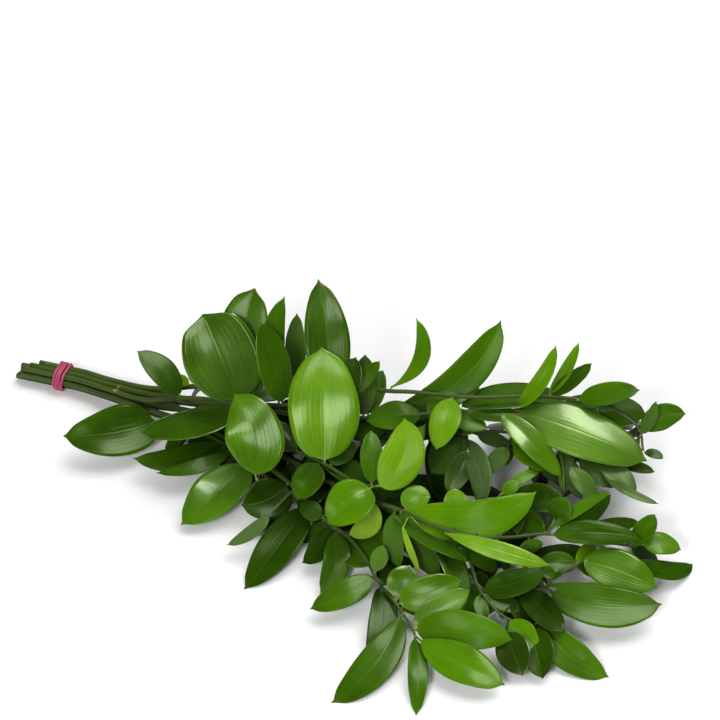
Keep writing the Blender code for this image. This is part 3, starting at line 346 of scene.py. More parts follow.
def leavesFromBehind(routes):
    look = behindLook
    leaves = []
    for number, (stem, count) in enumerate(leavesBehind.items()):
        main = routes[stem][0]
        first, last = len(main) // 3, len(main) - 1
        for i in range(count):
            seed = look["seedStep"] * number + i
            draw = random.Random(seed)
            place = first + (last - first) * (i + draw.random()) / count
            before, after = int(place), min(int(place) + 1, last)
            root = main[before].lerp(main[after], place % 1)
            length = draw.uniform(*look["length"])
            width = length * draw.uniform(*look["widthShare"])
            onward = (main[after] - main[before - 1]).normalized()
            way = (awayWay * draw.uniform(*look["away"]) + onward * draw.uniform(*look["onward"])
                   + rightWay * draw.uniform(-1, 1) * look["spread"]
                   + upWay * draw.uniform(*look["up"]) * look["spread"]).normalized()
            downToFloor = (root.z - look["offFloor"]) / length
            if way.z < -downToFloor:
                way.z = -downToFloor
                way.normalize()
            base = root + way * leafForm["petiole"]
            facing = Vector((draw.uniform(*look["lean"]), draw.uniform(*look["lean"]), 1))
            face = squareTo(way, facing)
            form = [draw.uniform(*look[name]) for name in formNames[:4]]
            leaves.append(Leaf(stem, root, base, root + way * length, width, face, *form, leafForm["widest"],
                               leafForm["full"], draw.uniform(*look["tone"]), 0, 1, seed))
    return leaves


def outlineShare(leaf, along):
    if along <= 0 or along >= 1:
        return 0
    atBase = leaf.full * leaf.widest / (1 - leaf.widest)
    return (along / leaf.widest) ** atBase * ((1 - along) / (1 - leaf.widest)) ** leaf.full


def midBlade(leaf, along):
    # Centre line, face and side of the blade at a share of its length
    chord = leaf.tip - leaf.base
    side = leaf.facing.cross(chord.normalized())
    swell = leaf.facing * leaf.arch + side * leaf.bow
    t = max(0, along)
    tangent = (chord + swell * 4 * (1 - 2 * t) * chord.length).normalized()
    face = squareTo(tangent, leaf.facing)
    face = Matrix.Rotation(math.radians(leaf.twist) * (t - leafForm["twistFrom"]), 3, tangent) @ face
    centre = leaf.base + chord * t + swell * 4 * t * (1 - t) * chord.length
    if along < 0:
        centre = leaf.base.lerp(leaf.root, -along)
    return centre, face, face.cross(tangent)


def framePoint(leaf, along, across, lift):
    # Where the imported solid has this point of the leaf
    centre, face, side = midBlade(leaf, along)
    half = max(leafForm["endWidth"] / 2, leaf.width / 2 * outlineShare(leaf, along))
    fold = math.radians(leaf.fold)
    spread = side * across * math.cos(fold) + face * abs(across) * math.sin(fold)
    point = centre + spread * half + face * lift
    point.z = max(point.z, 0 if lift <= 0 else lift * 2)
    return point


def settledLeaf(leaf, tree):
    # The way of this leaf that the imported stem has, or None where it was left out
    places = [(row / leafForm["rows"], across, side * leafForm["thickness"] / 2)
              for row in range(1, leafForm["rows"]) for across in (-1, 1) for side in (1, -1)]
    cost = settling["formCost"]
    ways = [(i + cost * j + cost * k, move, arch, turn)
            for i, move in enumerate(settling["tipMoves"])
            for j, arch in enumerate(settling["archMoves"])
            for k, turn in enumerate(settling["turnMoves"])]
    best, most = None, settling["needed"] * len(places)
    for _, move, arch, turn in sorted(ways):
        tip = leaf.tip - (leaf.tip - eye).normalized() * move * mm
        axis = (tip - leaf.base).normalized()
        face = Matrix.Rotation(math.radians(turn), 3, axis) @ squareTo(axis, leaf.facing)
        way = leaf._replace(tip=tip, facing=face, arch=leaf.arch + arch)
        found = sum(tree.find(framePoint(way, *place))[2] < settling["near"] for place in places)
        if found > most:
            best, most = way, found
        if found > settling["enough"] * len(places):
            break
    return best


def solidPoints(node):
    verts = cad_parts[node].data.vertices
    tree = KDTree(len(verts))
    for i, vert in enumerate(verts):
        tree.insert(vert.co, i)
    tree.balance()
    return tree


# Leaves that the frame doesn't have, deep in the bunch wherever the floor would show through it,
# up to some 70 mm long. They stay inside this outline, in steps, and off these round gaps:
# across, down, radius
bodyOutline = [
    (188, 392), (200, 345), (262, 312), (318, 310), (340, 350), (368, 372), (385, 398), (440, 396),
    (500, 388), (560, 386), (625, 392), (665, 415), (640, 455), (618, 484), (606, 506), (640, 526),
    (668, 545), (655, 580), (645, 604), (600, 612), (562, 612), (556, 650), (545, 664), (505, 660),
    (470, 650), (440, 650), (412, 620), (396, 606), (375, 585), (335, 585), (312, 555), (262, 565),
    (206, 508), (160, 462), (170, 432), (190, 412)]
seeThrough = [(152, 421, 7), (200, 401, 7), (484, 450, 15), (510, 472, 18), (428, 461, 7), (544, 428, 5),
              (570, 460, 12), (590, 486, 8), (545, 520, 8), (554, 533, 7), (572, 576, 11), (360, 566, 9),
              (418, 628, 10), (580, 505, 8), (236, 513, 12), (575, 636, 14)]
fillLook = dict(seed=77, firstSeed=9000, most=90, spacing=7, across=(150, 680), down=(300, 690),
                heights=(5, 10, 16, 23, 31, 40), turns=(0, 70, -70), nearest=9 * mm, farthest=62 * mm,
                reach=(13 * mm, 24 * mm), lowestTip=2 * mm, mostWidth=30 * mm, widthShare=0.46,
                leanRight=(-0.4, 0.4), leanUp=(-0.6, 0.2), arch=0.05, bow=(-0.1, 0.1), fold=(4, 16),
                twist=(-15, 15), tone=(0.05, 0.3), stalkEnd=6, offFloor=0.6 * mm, bareBelow=1 * mm,
                plantAbove=4 * mm, mostHidden=5, gapMargin=3, gapShare=0.8)


def leafShell(leaf, rows=6):
    # A blade as three rows of points, for tests alone
    points = [framePoint(leaf, row / rows, across, 0) for row in range(rows + 1) for across in (-1, 0, 1)]
    faces = [(i, i + 1, i + 4, i + 3) for row in range(rows) for i in (row * 3, row * 3 + 1)]
    return points, faces


def stalkShell(route):
    # A stalk as two crossed ribbons, for tests alone
    points, faces = [], []
    for way in (Vector((0, 0, 1)), Vector((0, 1, 0))):
        half = way * stalkLook["radius"] * stalkLook["testShare"]
        first = len(points)
        for point in route:
            points += [point - half, point + half]
        faces += [(i, i + 1, i + 3, i + 2) for i in range(first, len(points) - 2, 2)]
    return points, faces


def bunchTree(leavesOfStems, routes):
    shells = [leafShell(leaf) for leaves in leavesOfStems.values() for leaf in leaves]
    shells += [stalkShell(route) for lines in routes.values() for route in lines]
    points, faces = [], []
    for shellPoints, shellFaces in shells:
        faces += [tuple(i + len(points) for i in face) for face in shellFaces]
        points += shellPoints
    return BVHTree.FromPolygons(points, faces)


def offPlant(across, down, share, margin):
    # Whether a place is in one of the bunch's gaps or outside its outline
    if any(math.hypot(across - x, down - y) < radius * share + margin for x, y, radius in seeThrough):
        return True
    inside = False
    for (x0, y0), (x1, y1) in zip(bodyOutline, bodyOutline[1:] + bodyOutline[:1]):
        if (y0 > down) != (y1 > down) and across < x0 + (down - y0) * (x1 - x0) / (y1 - y0):
            inside = not inside
    return not inside


def openSpots(tree):
    spots = []
    rows = range(*fillLook["down"], fillLook["spacing"])
    columns = range(*fillLook["across"], fillLook["spacing"])
    for down, across in product(rows, columns):
        if offPlant(across, down, 1, fillLook["gapMargin"]):
            continue
        hit = tree.ray_cast(eye, (fromView(across, down, 0) - eye).normalized())[0]
        if hit is None or hit.z < fillLook["bareBelow"]:
            spots.append((across, down))
    return spots


def sticksOut(tree, points):
    # Whether a leaf would leave the bunch's outline or hide leaves in view
    hidden = 0
    for point in points[3:]:
        if offPlant(*seenAt(point), fillLook["gapShare"], 0):
            return True
        hit = tree.ray_cast(eye, (point - eye).normalized())[0]
        hidden += (hit is not None and (hit - eye).length > (point - eye).length
                   and hit.z > fillLook["plantAbove"])
    return hidden > fillLook["mostHidden"]


def nearestOnStalks(routes, place):
    points = ((stem, point) for stem, lines in routes.items() for line in lines
              for point in line[fillLook["stalkEnd"]:-1])
    return min(points, key=lambda entry: (entry[1] - place).length)


def fillLeaves(leavesOfStems, routes):
    look = fillLook
    draw = random.Random(look["seed"])
    tree = bunchTree(leavesOfStems, routes)
    added, addedTrees = [], []
    spots = openSpots(tree)
    draw.shuffle(spots)
    for across, down in spots:
        way = (fromView(across, down, 0) - eye).normalized()
        if len(added) >= look["most"] or any(other.ray_cast(eye, way)[0] for other in addedTrees):
            continue
        for turn, height in product(look["turns"], look["heights"]):
            centre = fromView(across, down, height)
            root = nearestOnStalks(routes, centre)[1]
            onward = centre - root
            if not look["nearest"] < onward.length < look["farthest"]:
                continue
            onward = Matrix.Rotation(math.radians(turn), 3, "Z") @ onward.normalized()
            stem, root = nearestOnStalks(routes, centre - onward * (centre - root).length)
            onward = (centre - root).normalized()
            base = root + onward * leafForm["petiole"]
            tip = centre + onward * draw.uniform(*look["reach"])
            tip.z = max(tip.z, look["lowestTip"])
            facing = Vector((draw.uniform(*look["leanRight"]), draw.uniform(*look["leanUp"]), 1))
            face = squareTo(onward, facing)
            width = min(look["mostWidth"], (tip - base).length * look["widthShare"])
            bow, fold, twist, tone = (draw.uniform(*look[name]) for name in ("bow", "fold", "twist", "tone"))
            leaf = Leaf(stem, root, base, tip, width, face, look["arch"], bow, fold, twist,
                        leafForm["widest"], leafForm["full"], tone, 0, 1, look["firstSeed"] + len(added))
            points, faces = leafShell(leaf)
            # Rows next to the stalk may touch it
            shell = BVHTree.FromPolygons(points, faces[2:])
            lowest = min(point.z for point in points)
            if lowest < look["offFloor"] or shell.overlap(tree) or sticksOut(tree, points):
                continue
            if any(shell.overlap(other) for other in addedTrees):
                continue
            added.append(leaf)
            addedTrees.append(BVHTree.FromPolygons(points, faces))
            break
    return added


# How much of the sky each part of a leaf is shut off from by its neighbours, kept on the mesh for
# the painted shade that darkens its colour. Each ring of rays: its lean from straight up, and how many rays
# it has
shadeLook = dict(rows=6, alongFrom=0.04, alongSpan=0.92, edge=0.7, turnedUnder=-0.2, upward=0.8,
                 lift=0.9 * mm, reach=85 * mm, rings=((0.3, 5), (0.75, 7), (1.15, 6)))


def shutOff(tree, point, facing):
    up = (facing + Vector((0, 0, 1)) * shadeLook["upward"]).normalized()
    first = up.orthogonal().normalized()
    second = up.cross(first)
    start = point + facing * shadeLook["lift"]
    hits = total = 0
    for lean, count in shadeLook["rings"]:
        for i in range(count):
            turn = math.tau * (i + lean) / count
            way = up * math.cos(lean) + (first * math.cos(turn) + second * math.sin(turn)) * math.sin(lean)
            hits += tree.ray_cast(start, way, shadeLook["reach"])[0] is not None
            total += 1
    return hits / total


def leafShade(tree, leaf):
    grid = []
    for row in range(shadeLook["rows"] + 1):
        along = shadeLook["alongFrom"] + shadeLook["alongSpan"] * row / shadeLook["rows"]
        face = midBlade(leaf, along)[1]
        if face.z <= shadeLook["turnedUnder"]:
            face = -face
        grid.append([shutOff(tree, framePoint(leaf, along, across, 0), face)
                     for across in (-shadeLook["edge"], 0, shadeLook["edge"])])
    return grid


def shadeAt(grid, along, across):
    place = min(max(along, 0), 0.999) * shadeLook["rows"]
    row, share = int(place), place % 1
    column = min(1.999, max(0, (across + shadeLook["edge"]) / shadeLook["edge"]))
    side, lean = int(column), column % 1
    upper = grid[row][side] * (1 - lean) + grid[row][side + 1] * lean
    lower = grid[row + 1][side] * (1 - lean) + grid[row + 1][side + 1] * lean
    return upper * (1 - share) + lower * share


# The finer leaf: how its blade cups, waves and thins towards its edge, and its pointed tip
bladeDetail = dict(grid=(34, 14), fillGrid=(20, 8), petioleRows=3, thickness=0.5 * mm, rimShare=0.25,
                   cup=0.08, wave=0.05, waveTurns=(0.6, 1.4), waveStart=(0, 6.3), crease=0.22,
                   foldShare=0.55, point=0.12, tipHalf=0.12 * mm, petioleWidth=1.5 * mm,
                   petioleThickness=1.1 * mm, petioleBlend=3, edgeWave=0.02, edgeTurns=9, offFloor=0.05 * mm)


def finePoint(leaf, draws, along, across, side):
    look = bladeDetail
    centre, face, out = midBlade(leaf, along)
    t = max(0, along)
    lowerHalf = t < 0.5
    half = leaf.width / 2 * outlineShare(leaf, along)
    half *= 1 - max(0, 1 - (1 - t) / look["point"]) ** 2
    half *= 1 + look["edgeWave"] * math.sin(across * 2 + draws["edge"] + look["edgeTurns"] * t)
    stalk = look["petioleWidth"] / 2
    atBlade = min(1, half / (stalk * look["petioleBlend"])) if half > 0 else 0
    half = max(stalk if lowerHalf else look["tipHalf"], half)
    fold = math.radians(leaf.fold)
    crease = math.sqrt(across * across + look["crease"] ** 2) - look["crease"]
    lift = crease * math.sin(fold * look["foldShare"])
    lift += draws["cup"] * look["cup"] * across * across
    lift += look["wave"] * abs(across) * math.sin(draws["turns"] * t * math.tau + draws["wave"] + across)
    thick = look["thickness"] * (1 - (1 - look["rimShare"]) * across ** 4)
    if lowerHalf:
        thick += (look["petioleThickness"] - thick) * (1 - atBlade)
    point = centre + out * across * math.cos(fold) * half + face * lift * half * atBlade
    point += face * side * thick / 2
    point.z = max(point.z, look["offFloor"] + (0 if side < 0 else thick))
    return point


def meshLayers(bm):
    return bm.loops.layers.uv.new("blade"), bm.verts.layers.float_color.new("leafTone")


def joinTo(target, bm, slot):
    bmesh.ops.recalc_face_normals(bm, faces=bm.faces)
    if bm.calc_volume(signed=True) < 0:
        bmesh.ops.reverse_faces(bm, faces=bm.faces)
    for face in bm.faces:
        face.smooth = len(face.verts) < 5
        face.material_index = slot
    mesh = bpy.data.meshes.new("growth")
    bm.to_mesh(mesh)
    bm.free()
    target.from_mesh(mesh)
    bpy.data.meshes.remove(mesh)


def addLeaf(target, leaf, shade):
    filling = leaf.seed >= fillLook["firstSeed"]
    rows, columns = bladeDetail["fillGrid"] if filling else bladeDetail["grid"]
    petioleRows = bladeDetail["petioleRows"]
    draw = random.Random(leaf.seed * 7 + 3)
    start = bladeDetail["waveStart"]
    draws = dict(cup=draw.uniform(-1, 1), wave=draw.uniform(*start), edge=draw.uniform(*start),
                 turns=draw.uniform(*bladeDetail["waveTurns"]))
    bm = bmesh.new()
    bmesh.ops.create_grid(bm, x_segments=rows, y_segments=columns, size=1)
    under = bmesh.ops.extrude_face_region(bm, geom=bm.faces[:])["geom"]
    bmesh.ops.translate(bm, verts=[v for v in under if isinstance(v, bmesh.types.BMVert)], vec=(0, 0, -1))
    uvs, tones = meshLayers(bm)
    for vert in bm.verts:
        row = round((vert.co.x + 1) / 2 * rows)
        along = (row - petioleRows) / (petioleRows if row < petioleRows else rows - petioleRows)
        side = 1 if vert.co.z > -0.5 else -1
        vert[tones] = (leaf.tone, shadeAt(shade, along, vert.co.y), max(0, side), leaf.pale)
        for loop in vert.link_loops:
            loop[uvs].uv = (0.5 + along / 2, 0.5 + vert.co.y / 2)
        vert.co = finePoint(leaf, draws, along, vert.co.y, side)
    joinTo(target, bm, slots["dullLeaf" if leaf.dull else "leaf"])


def addTube(target, route, radii, sides, closed=False, ribs=0, ribDepth=0.0, slot=0, shades=None):
    # A round tube along a route: a grid whose rows are laid round the route's points
    count = len(route)
    rows = count if closed else count - 1
    bm = bmesh.new()
    bmesh.ops.create_grid(bm, x_segments=rows, y_segments=sides, size=1)
    uvs, tones = meshLayers(bm)
    rings, normal = [], None
    for i in range(count):
        before = route[i - 1] if closed or i else route[0]
        after = route[(i + 1) % count] if closed or i < count - 1 else route[-1]
        tangent = (after - before).normalized()
        if normal is None:
            normal = tangent.orthogonal().normalized()
        normal = squareTo(tangent, normal)
        rings.append((route[i], normal, tangent.cross(normal)))
    for vert in bm.verts:
        row = round((vert.co.x + 1) / 2 * rows)
        turn = (vert.co.y + 1) / 2
        for loop in vert.link_loops:
            loop[uvs].uv = (row / rows, turn)
        vert[tones] = (0.5, shades[row % count] if shades else 0.0, 1.0, 1.0)
        place, first, second = rings[row % count]
        angle = turn * math.tau
        radius = radii[row % count] * (1 + ribDepth * math.cos(angle * ribs))
        vert.co = place + (first * math.cos(angle) + second * math.sin(angle)) * radius
    bmesh.ops.remove_doubles(bm, verts=bm.verts, dist=0.001 * mm)
    if not closed:
        rims = [edge for edge in bm.edges if edge.is_boundary]
        bmesh.ops.holes_fill(bm, edges=rims, sides=0)
    joinTo(target, bm, slot)


# Small scales and buds where leaves leave the stalk
budLook = dict(length=2.4 * mm, radius=0.6 * mm, stretch=(0.8, 1.3), aside=0.9, onward=0.7,
               offFloor=0.05 * mm, dark=(0.16, 0.20, 0.04), light=(0.30, 0.17, 0.05), roughness=0.6)


def addBud(target, leaf):
    draw = random.Random(leaf.seed)
    bm = bmesh.new()
    bmesh.ops.create_icosphere(bm, subdivisions=2, radius=budLook["radius"])
    along = (leaf.base - leaf.root).normalized()
    stretch = budLook["length"] / budLook["radius"] / 2 * draw.uniform(*budLook["stretch"])
    turn = along.to_track_quat("X", "Z").to_matrix().to_4x4()
    bmesh.ops.scale(bm, vec=(stretch, 1, 1), verts=bm.verts)
    bmesh.ops.rotate(bm, matrix=turn, verts=bm.verts)
    aside = leaf.facing * (budLook["radius"] * budLook["aside"]) * draw.choice((-1, 1))
    place = leaf.root + along * budLook["length"] * budLook["onward"] + aside
    bmesh.ops.translate(bm, vec=place, verts=bm.verts)
    uvs, tones = meshLayers(bm)
    for vert in bm.verts:
        vert[tones] = (draw.random(), 0.0, 1, 1)
        vert.co.z = max(vert.co.z, budLook["offFloor"])
        for loop in vert.link_loops:
            loop[uvs].uv = (0.5, 0.5)
    joinTo(target, bm, slots["bud"])


def newMaterial(name):
    material = bpy.data.materials.new(name)
    material.use_nodes = True
    return material, material.node_tree, material.node_tree.nodes["Principled BSDF"]


def feed(tree, socket, value):
    # Sets a socket to a number or a colour, or links another node's output to it
    if isinstance(value, (int, float)):
        socket.default_value = value
    elif isinstance(value, tuple):
        socket.default_value = (*value, 1)
    else:
        tree.links.new(value, socket)


def feedAll(tree, node, values):
    for name, value in values.items():
        feed(tree, node.inputs[name], value)


def calc(tree, operation, *values):
    node = tree.nodes.new("ShaderNodeMath")
    node.operation = operation
    for socket, value in zip(node.inputs, values):
        feed(tree, socket, value)
    return node.outputs[0]


def mixColour(tree, factor, first, second):
    node = tree.nodes.new("ShaderNodeMix")
    node.data_type = "RGBA"
    for socket, value in ((node.inputs[0], factor), (node.inputs[6], first), (node.inputs[7], second)):
        feed(tree, socket, value)
    return node.outputs[2]


def noise(tree, place, scale, detail):
    texture = tree.nodes.new("ShaderNodeTexNoise")
    feedAll(tree, texture, {"Vector": place, "Scale": scale, "Detail": detail})
    return texture.outputs["Fac"]


def objectNoise(tree, scale, detail):
    place = tree.nodes.new("ShaderNodeTexCoord")
    return noise(tree, place.outputs["Object"], scale, detail)


def piecePlace(tree):
    place = tree.nodes.new("ShaderNodeUVMap")
    place.uv_map = "blade"
    return place.outputs[0]


def grainNoise(tree, along, across, detail):
    # Noise that is drawn out along the blade, stalk or band
    stretch = tree.nodes.new("ShaderNodeMapping")
    stretch.inputs["Scale"].default_value = (along, across, 1)
    tree.links.new(piecePlace(tree), stretch.inputs["Vector"])
    return noise(tree, stretch.outputs[0], 1, detail)


def meshTones(tree):
    # What the mesh keeps for each point: tone, shade, side of the blade and share of painted sheen
    tone = tree.nodes.new("ShaderNodeAttribute")
    tone.attribute_name = "leafTone"
    split = tree.nodes.new("ShaderNodeSeparateColor")
    tree.links.new(tone.outputs["Color"], split.inputs[0])
    return (*split.outputs, tone.outputs["Alpha"])


def addCentred(tree, texture, amount, base):
    # Adds a texture round its middle value, so that the base keeps its level
    return calc(tree, "MULTIPLY_ADD", texture, amount, calc(tree, "SUBTRACT", base, amount / 2))


def addBump(tree, shader, height, strength, distance):
    bump = tree.nodes.new("ShaderNodeBump")
    feedAll(tree, bump, {"Strength": strength, "Distance": distance, "Height": height})
    tree.links.new(bump.outputs[0], shader.inputs["Normal"])


# Among these colours, the near black one, with its power and share, paints shade into leaves shut off from
# the sky
leafColours = dict(
    stops=[(0.0, (0.009, 0.026, 0.0006)), (0.2, (0.021, 0.061, 0.0008)), (0.4, (0.042, 0.12, 0.0012)),
           (0.65, (0.084, 0.22, 0.0018)), (0.85, (0.135, 0.295, 0.004)), (1.0, (0.26, 0.43, 0.03))],
    midrib=(0.16, 0.33, 0.03), under=(0.075, 0.135, 0.045), edge=(0.22, 0.36, 0.05),
    # Painted sheen: the paler, greyer green stands in for the pale room mirrored in some leaves
    pale=(0.10, 0.165, 0.055), deep=(0.004, 0.008, 0.001), paintedShadePower=1.6, paintedShadeShare=0.85, midribShare=0.1,
    edgeShare=0.35, underShare=0.5, sheenStreaks=0.8, sheenBase=0.3, patches=(28, 3), patchTone=0.5,
    streakTone=0.34, veinTone=-0.015)
leafRelief = dict(veins=13, veinSharp=3.0, veinDepth=0.2, streakLength=2.5, streaksPerVein=2.2,
                  streakDetail=4, streakHeight=0.6, midribNarrow=22.0, midribDepth=0.8, edgeNarrow=25.0,
                  bump=(0.75, 0.15 * mm))
leafGloss = dict(roughness=0.12, patchy=0.16, under=0.3, deep=0.45, specular=0.36, tint=(0.75, 0.95, 0.4),
                 coat=0.2, coatRoughness=0.12)


# Painted shade: mixes the colour towards a near black where the point is shut off from the sky by its
# neighbours
def paintDeepShade(tree, shut, colour):
    deep = calc(tree, "POWER", shut, leafColours["paintedShadePower"])
    share = calc(tree, "MULTIPLY", deep, leafColours["paintedShadeShare"])
    return mixColour(tree, share, colour, leafColours["deep"])


def toneRamp(tree, shade):
    ramp = tree.nodes.new("ShaderNodeValToRGB")
    elements, stops = ramp.color_ramp.elements, leafColours["stops"]
    for element, (position, colour) in zip(elements[:], (stops[0], stops[-1])):
        element.position, element.color = position, (*colour, 1)
    for position, colour in stops[1:-1]:
        elements.new(position).color = (*colour, 1)
    tree.links.new(shade, ramp.inputs[0])
    return ramp.outputs[0]


def leafMaterial(name, gloss):
    material, tree, shader = newMaterial(name)
    look, relief, shine = leafColours, leafRelief, leafGloss
    tone, shut, upper, pale = meshTones(tree)
    uv = tree.nodes.new("ShaderNodeSeparateXYZ")
    tree.links.new(piecePlace(tree), uv.inputs[0])
    patches = objectNoise(tree, *look["patches"])
    streakCount = relief["veins"] * relief["streaksPerVein"]
    streaks = grainNoise(tree, relief["streakLength"], streakCount, relief["streakDetail"])
    # Veins run with the blade from base to tip
    wave = calc(tree, "SINE", calc(tree, "MULTIPLY", uv.outputs[1], relief["veins"] * math.tau))
    veins = calc(tree, "POWER", calc(tree, "MULTIPLY_ADD", wave, 0.5, 0.5), relief["veinSharp"])
    across = calc(tree, "ABSOLUTE", calc(tree, "MULTIPLY_ADD", uv.outputs[1], 2.0, -1.0))
    midrib = calc(tree, "SUBTRACT", 1.0, calc(tree, "MULTIPLY", across, relief["midribNarrow"]))
    midrib = calc(tree, "MAXIMUM", midrib, 0.0)
    narrow = relief["edgeNarrow"]
    rim = calc(tree, "MAXIMUM", calc(tree, "MULTIPLY_ADD", across, narrow, 1 - narrow), 0.0)
    # Tone of the leaf, with soft patches and streaks
    shade = addCentred(tree, patches, look["patchTone"], tone)
    shade = addCentred(tree, streaks, look["streakTone"], shade)
    shade = calc(tree, "MULTIPLY_ADD", veins, look["veinTone"], shade)
    colour = toneRamp(tree, shade)
    share = calc(tree, "MULTIPLY", midrib, look["midribShare"])
    colour = mixColour(tree, share, colour, look["midrib"])
    colour = mixColour(tree, calc(tree, "MULTIPLY", rim, look["edgeShare"]), colour, look["edge"])
    # Painted sheen: some leaves are mixed towards a paler, greyer green that stands in for the pale room
    # mirrored in them
    sheenShare = calc(tree, "MULTIPLY_ADD", streaks, look["sheenStreaks"], look["sheenBase"])
    colour = mixColour(tree, calc(tree, "MULTIPLY", sheenShare, pale), colour, look["pale"])
    beneath = calc(tree, "MULTIPLY", calc(tree, "SUBTRACT", 1.0, upper), look["underShare"])
    colour = mixColour(tree, beneath, colour, look["under"])
    # Leaves deep in the bunch mirror less of the room
    rough = calc(tree, "MULTIPLY_ADD", patches, shine["patchy"], shine["roughness"])
    rough = calc(tree, "MULTIPLY_ADD", beneath, shine["under"], rough)
    rough = calc(tree, "MULTIPLY_ADD", shut, shine["deep"], rough)
    # The base colour carries the painted shade of leaves deep in the bunch
    feedAll(tree, shader, {
        "Base Color": paintDeepShade(tree, shut, colour), "Roughness": rough,
        "Specular IOR Level": shine["specular"] * gloss, "Specular Tint": shine["tint"],
        "Coat Weight": shine["coat"] * gloss, "Coat Roughness": shine["coatRoughness"]})
    height = calc(tree, "MULTIPLY", veins, -relief["veinDepth"])
    height = calc(tree, "MULTIPLY_ADD", streaks, relief["streakHeight"], height)
    height = calc(tree, "MULTIPLY_ADD", midrib, -relief["midribDepth"], height)
    addBump(tree, shader, height, *relief["bump"])
    return material


stalkColours = dict(dark=(0.006, 0.016, 0.002), light=(0.105, 0.165, 0.028), scar=(0.30, 0.30, 0.06),
                    grain=(9, 26, 5), patches=(60, 2), scarFrom=0.71, scarShare=0.7, roughness=0.45,
                    specular=0.2, bump=(0.4, 0.2 * mm))


def stalkMaterial():
    material, tree, shader = newMaterial("ruscusStalk")
    look = stalkColours
    streaks = grainNoise(tree, *look["grain"])
    scars = calc(tree, "GREATER_THAN", objectNoise(tree, *look["patches"]), look["scarFrom"])
    colour = mixColour(tree, streaks, look["dark"], look["light"])
    colour = mixColour(tree, calc(tree, "MULTIPLY", scars, look["scarShare"]), colour, look["scar"])
    # Painted shade: the stalk is darker where it is shut off from the sky by leaves and other stalks
    colour = paintDeepShade(tree, meshTones(tree)[1], colour)
    feedAll(tree, shader, {"Base Color": colour, "Roughness": look["roughness"],
                           "Specular IOR Level": look["specular"]})
    addBump(tree, shader, streaks, *look["bump"])
    return material


cutLook = dict(pith=(900, 2), dark=(0.16, 0.22, 0.07), light=(0.38, 0.40, 0.18), roughness=0.8)


def mixedMaterial(name, look, pattern):
    # Two colours, mixed by the pattern that a function gives
    material, tree, shader = newMaterial(name)
    colour = mixColour(tree, pattern(tree), look["dark"], look["light"])
    feedAll(tree, shader, {"Base Color": colour, "Roughness": look["roughness"]})
    return material


def newPiece(name, bm, materials):
    mesh = bpy.data.meshes.new(name)
    bm.to_mesh(mesh)
    bm.free()
    for material in materials:
        mesh.materials.append(material)
    piece = bpy.data.objects.new(name, mesh)
    bpy.context.scene.collection.objects.link(piece)
    return piece


def routeRadii(route, first, last):
    steps = len(route) - 1
    return [first + (last - first) * (i / steps) ** stalkLook["taper"] for i in range(steps + 1)]


frameRoutes = {stem: stemRoutes(stem, stalkLook["frameSpacing"]) for stem in stems}
fineRoutes = {stem: stemRoutes(stem, stalkLook["spacing"]) for stem in stems}
wanted = [leafInView(frameRoutes, entry, i) for i, entry in enumerate(leavesInView, leafForm["firstSeed"])]
wanted += leavesFromBehind(frameRoutes)
slots = dict(leaf=0, stalk=1, bud=2, cutEnd=3, dullLeaf=4)
stemMaterials = [leafMaterial("ruscusLeaf", 1), stalkMaterial(),
                 mixedMaterial("ruscusBud", budLook, lambda tree: meshTones(tree)[0]),
                 mixedMaterial("ruscusCutEnd", cutLook, lambda tree: objectNoise(tree, *cutLook["pith"])),
                 leafMaterial("ruscusLeafDull", leafForm["dullGloss"])]
grown = {}
for stem in stems:
    tree = solidPoints("ruscus_stem_" + stem)
    found = (settledLeaf(leaf, tree) for leaf in wanted if leaf.stem == stem)
    grown[stem] = [leaf for leaf in found if leaf]
print("leaves found in the frame:", sum(map(len, grown.values())))
filling = fillLeaves(grown, fineRoutes)
for leaf in filling:
    grown[leaf.stem].append(leaf)
print("leaves added deep in the bunch:", len(filling))
neighbours = bunchTree(grown, fineRoutes)
for stem in stems:
    node = "ruscus_stem_" + stem
    bm = bmesh.new()
    main, *twigs = fineRoutes[stem]
    # How shut off from the sky each point of the main stalk is, kept for its painted shade
    lift = Vector((0, 0, stalkLook["shadeLift"]))
    shades = [shutOff(neighbours, point + lift, Vector((0, 0, 1))) for point in main]
    addTube(bm, main, routeRadii(main, stalkLook["radius"], stalkLook["tipRadius"]), stalkLook["sides"],
            ribs=stalkLook["ribs"], ribDepth=stalkLook["ribDepth"], slot=slots["stalk"], shades=shades)
    for twig in twigs:
        addTube(bm, twig, [stalkLook["twigRadius"]] * len(twig), stalkLook["twigSides"], slot=slots["stalk"])
    for leaf in grown[stem]:
        # Each leaf keeps how shut off from the sky it is, for its painted shade
        addLeaf(bm, leaf, leafShade(neighbours, leaf))
        addBud(bm, leaf)
    for face in bm.faces:
        if len(face.verts) > 4 and (face.calc_center_median() - main[0]).length < stalkLook["cutWithin"]:
            face.material_index = slots["cutEnd"]
    piece = newPiece("leafy_stem_" + stem, bm, stemMaterials)
    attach(piece, "root")
    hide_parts(node)
print("leafy stems made")

# The rubber band: windings side by side round the bundle. Each winding: how far along the bundle
# it lies and how it slants
bandLook = dict(radius=1.15 * mm, gap=0.5 * mm, station=1, corner=22, sides=12, grain=(30, 9, 4),
                roughness=0.5, bump=(0.5, 0.2 * mm), evenness=0.5,
                windings=[(-3.3 * mm, 0.0), (-1.2 * mm, 0.04), (0.9 * mm, 0.0), (3.0 * mm, 0.14)],
                colour=(0.44, 0.035, 0.10), dark=(0.14, 0.006, 0.022), light=(0.64, 0.12, 0.22))
# The stalks at the bundle's corners: steps to the back and rows up
bundleCorners = [(1.5, 0), (1, 1), (-1, 1), (-1.5, 0), (-1, -1), (1, -1)]


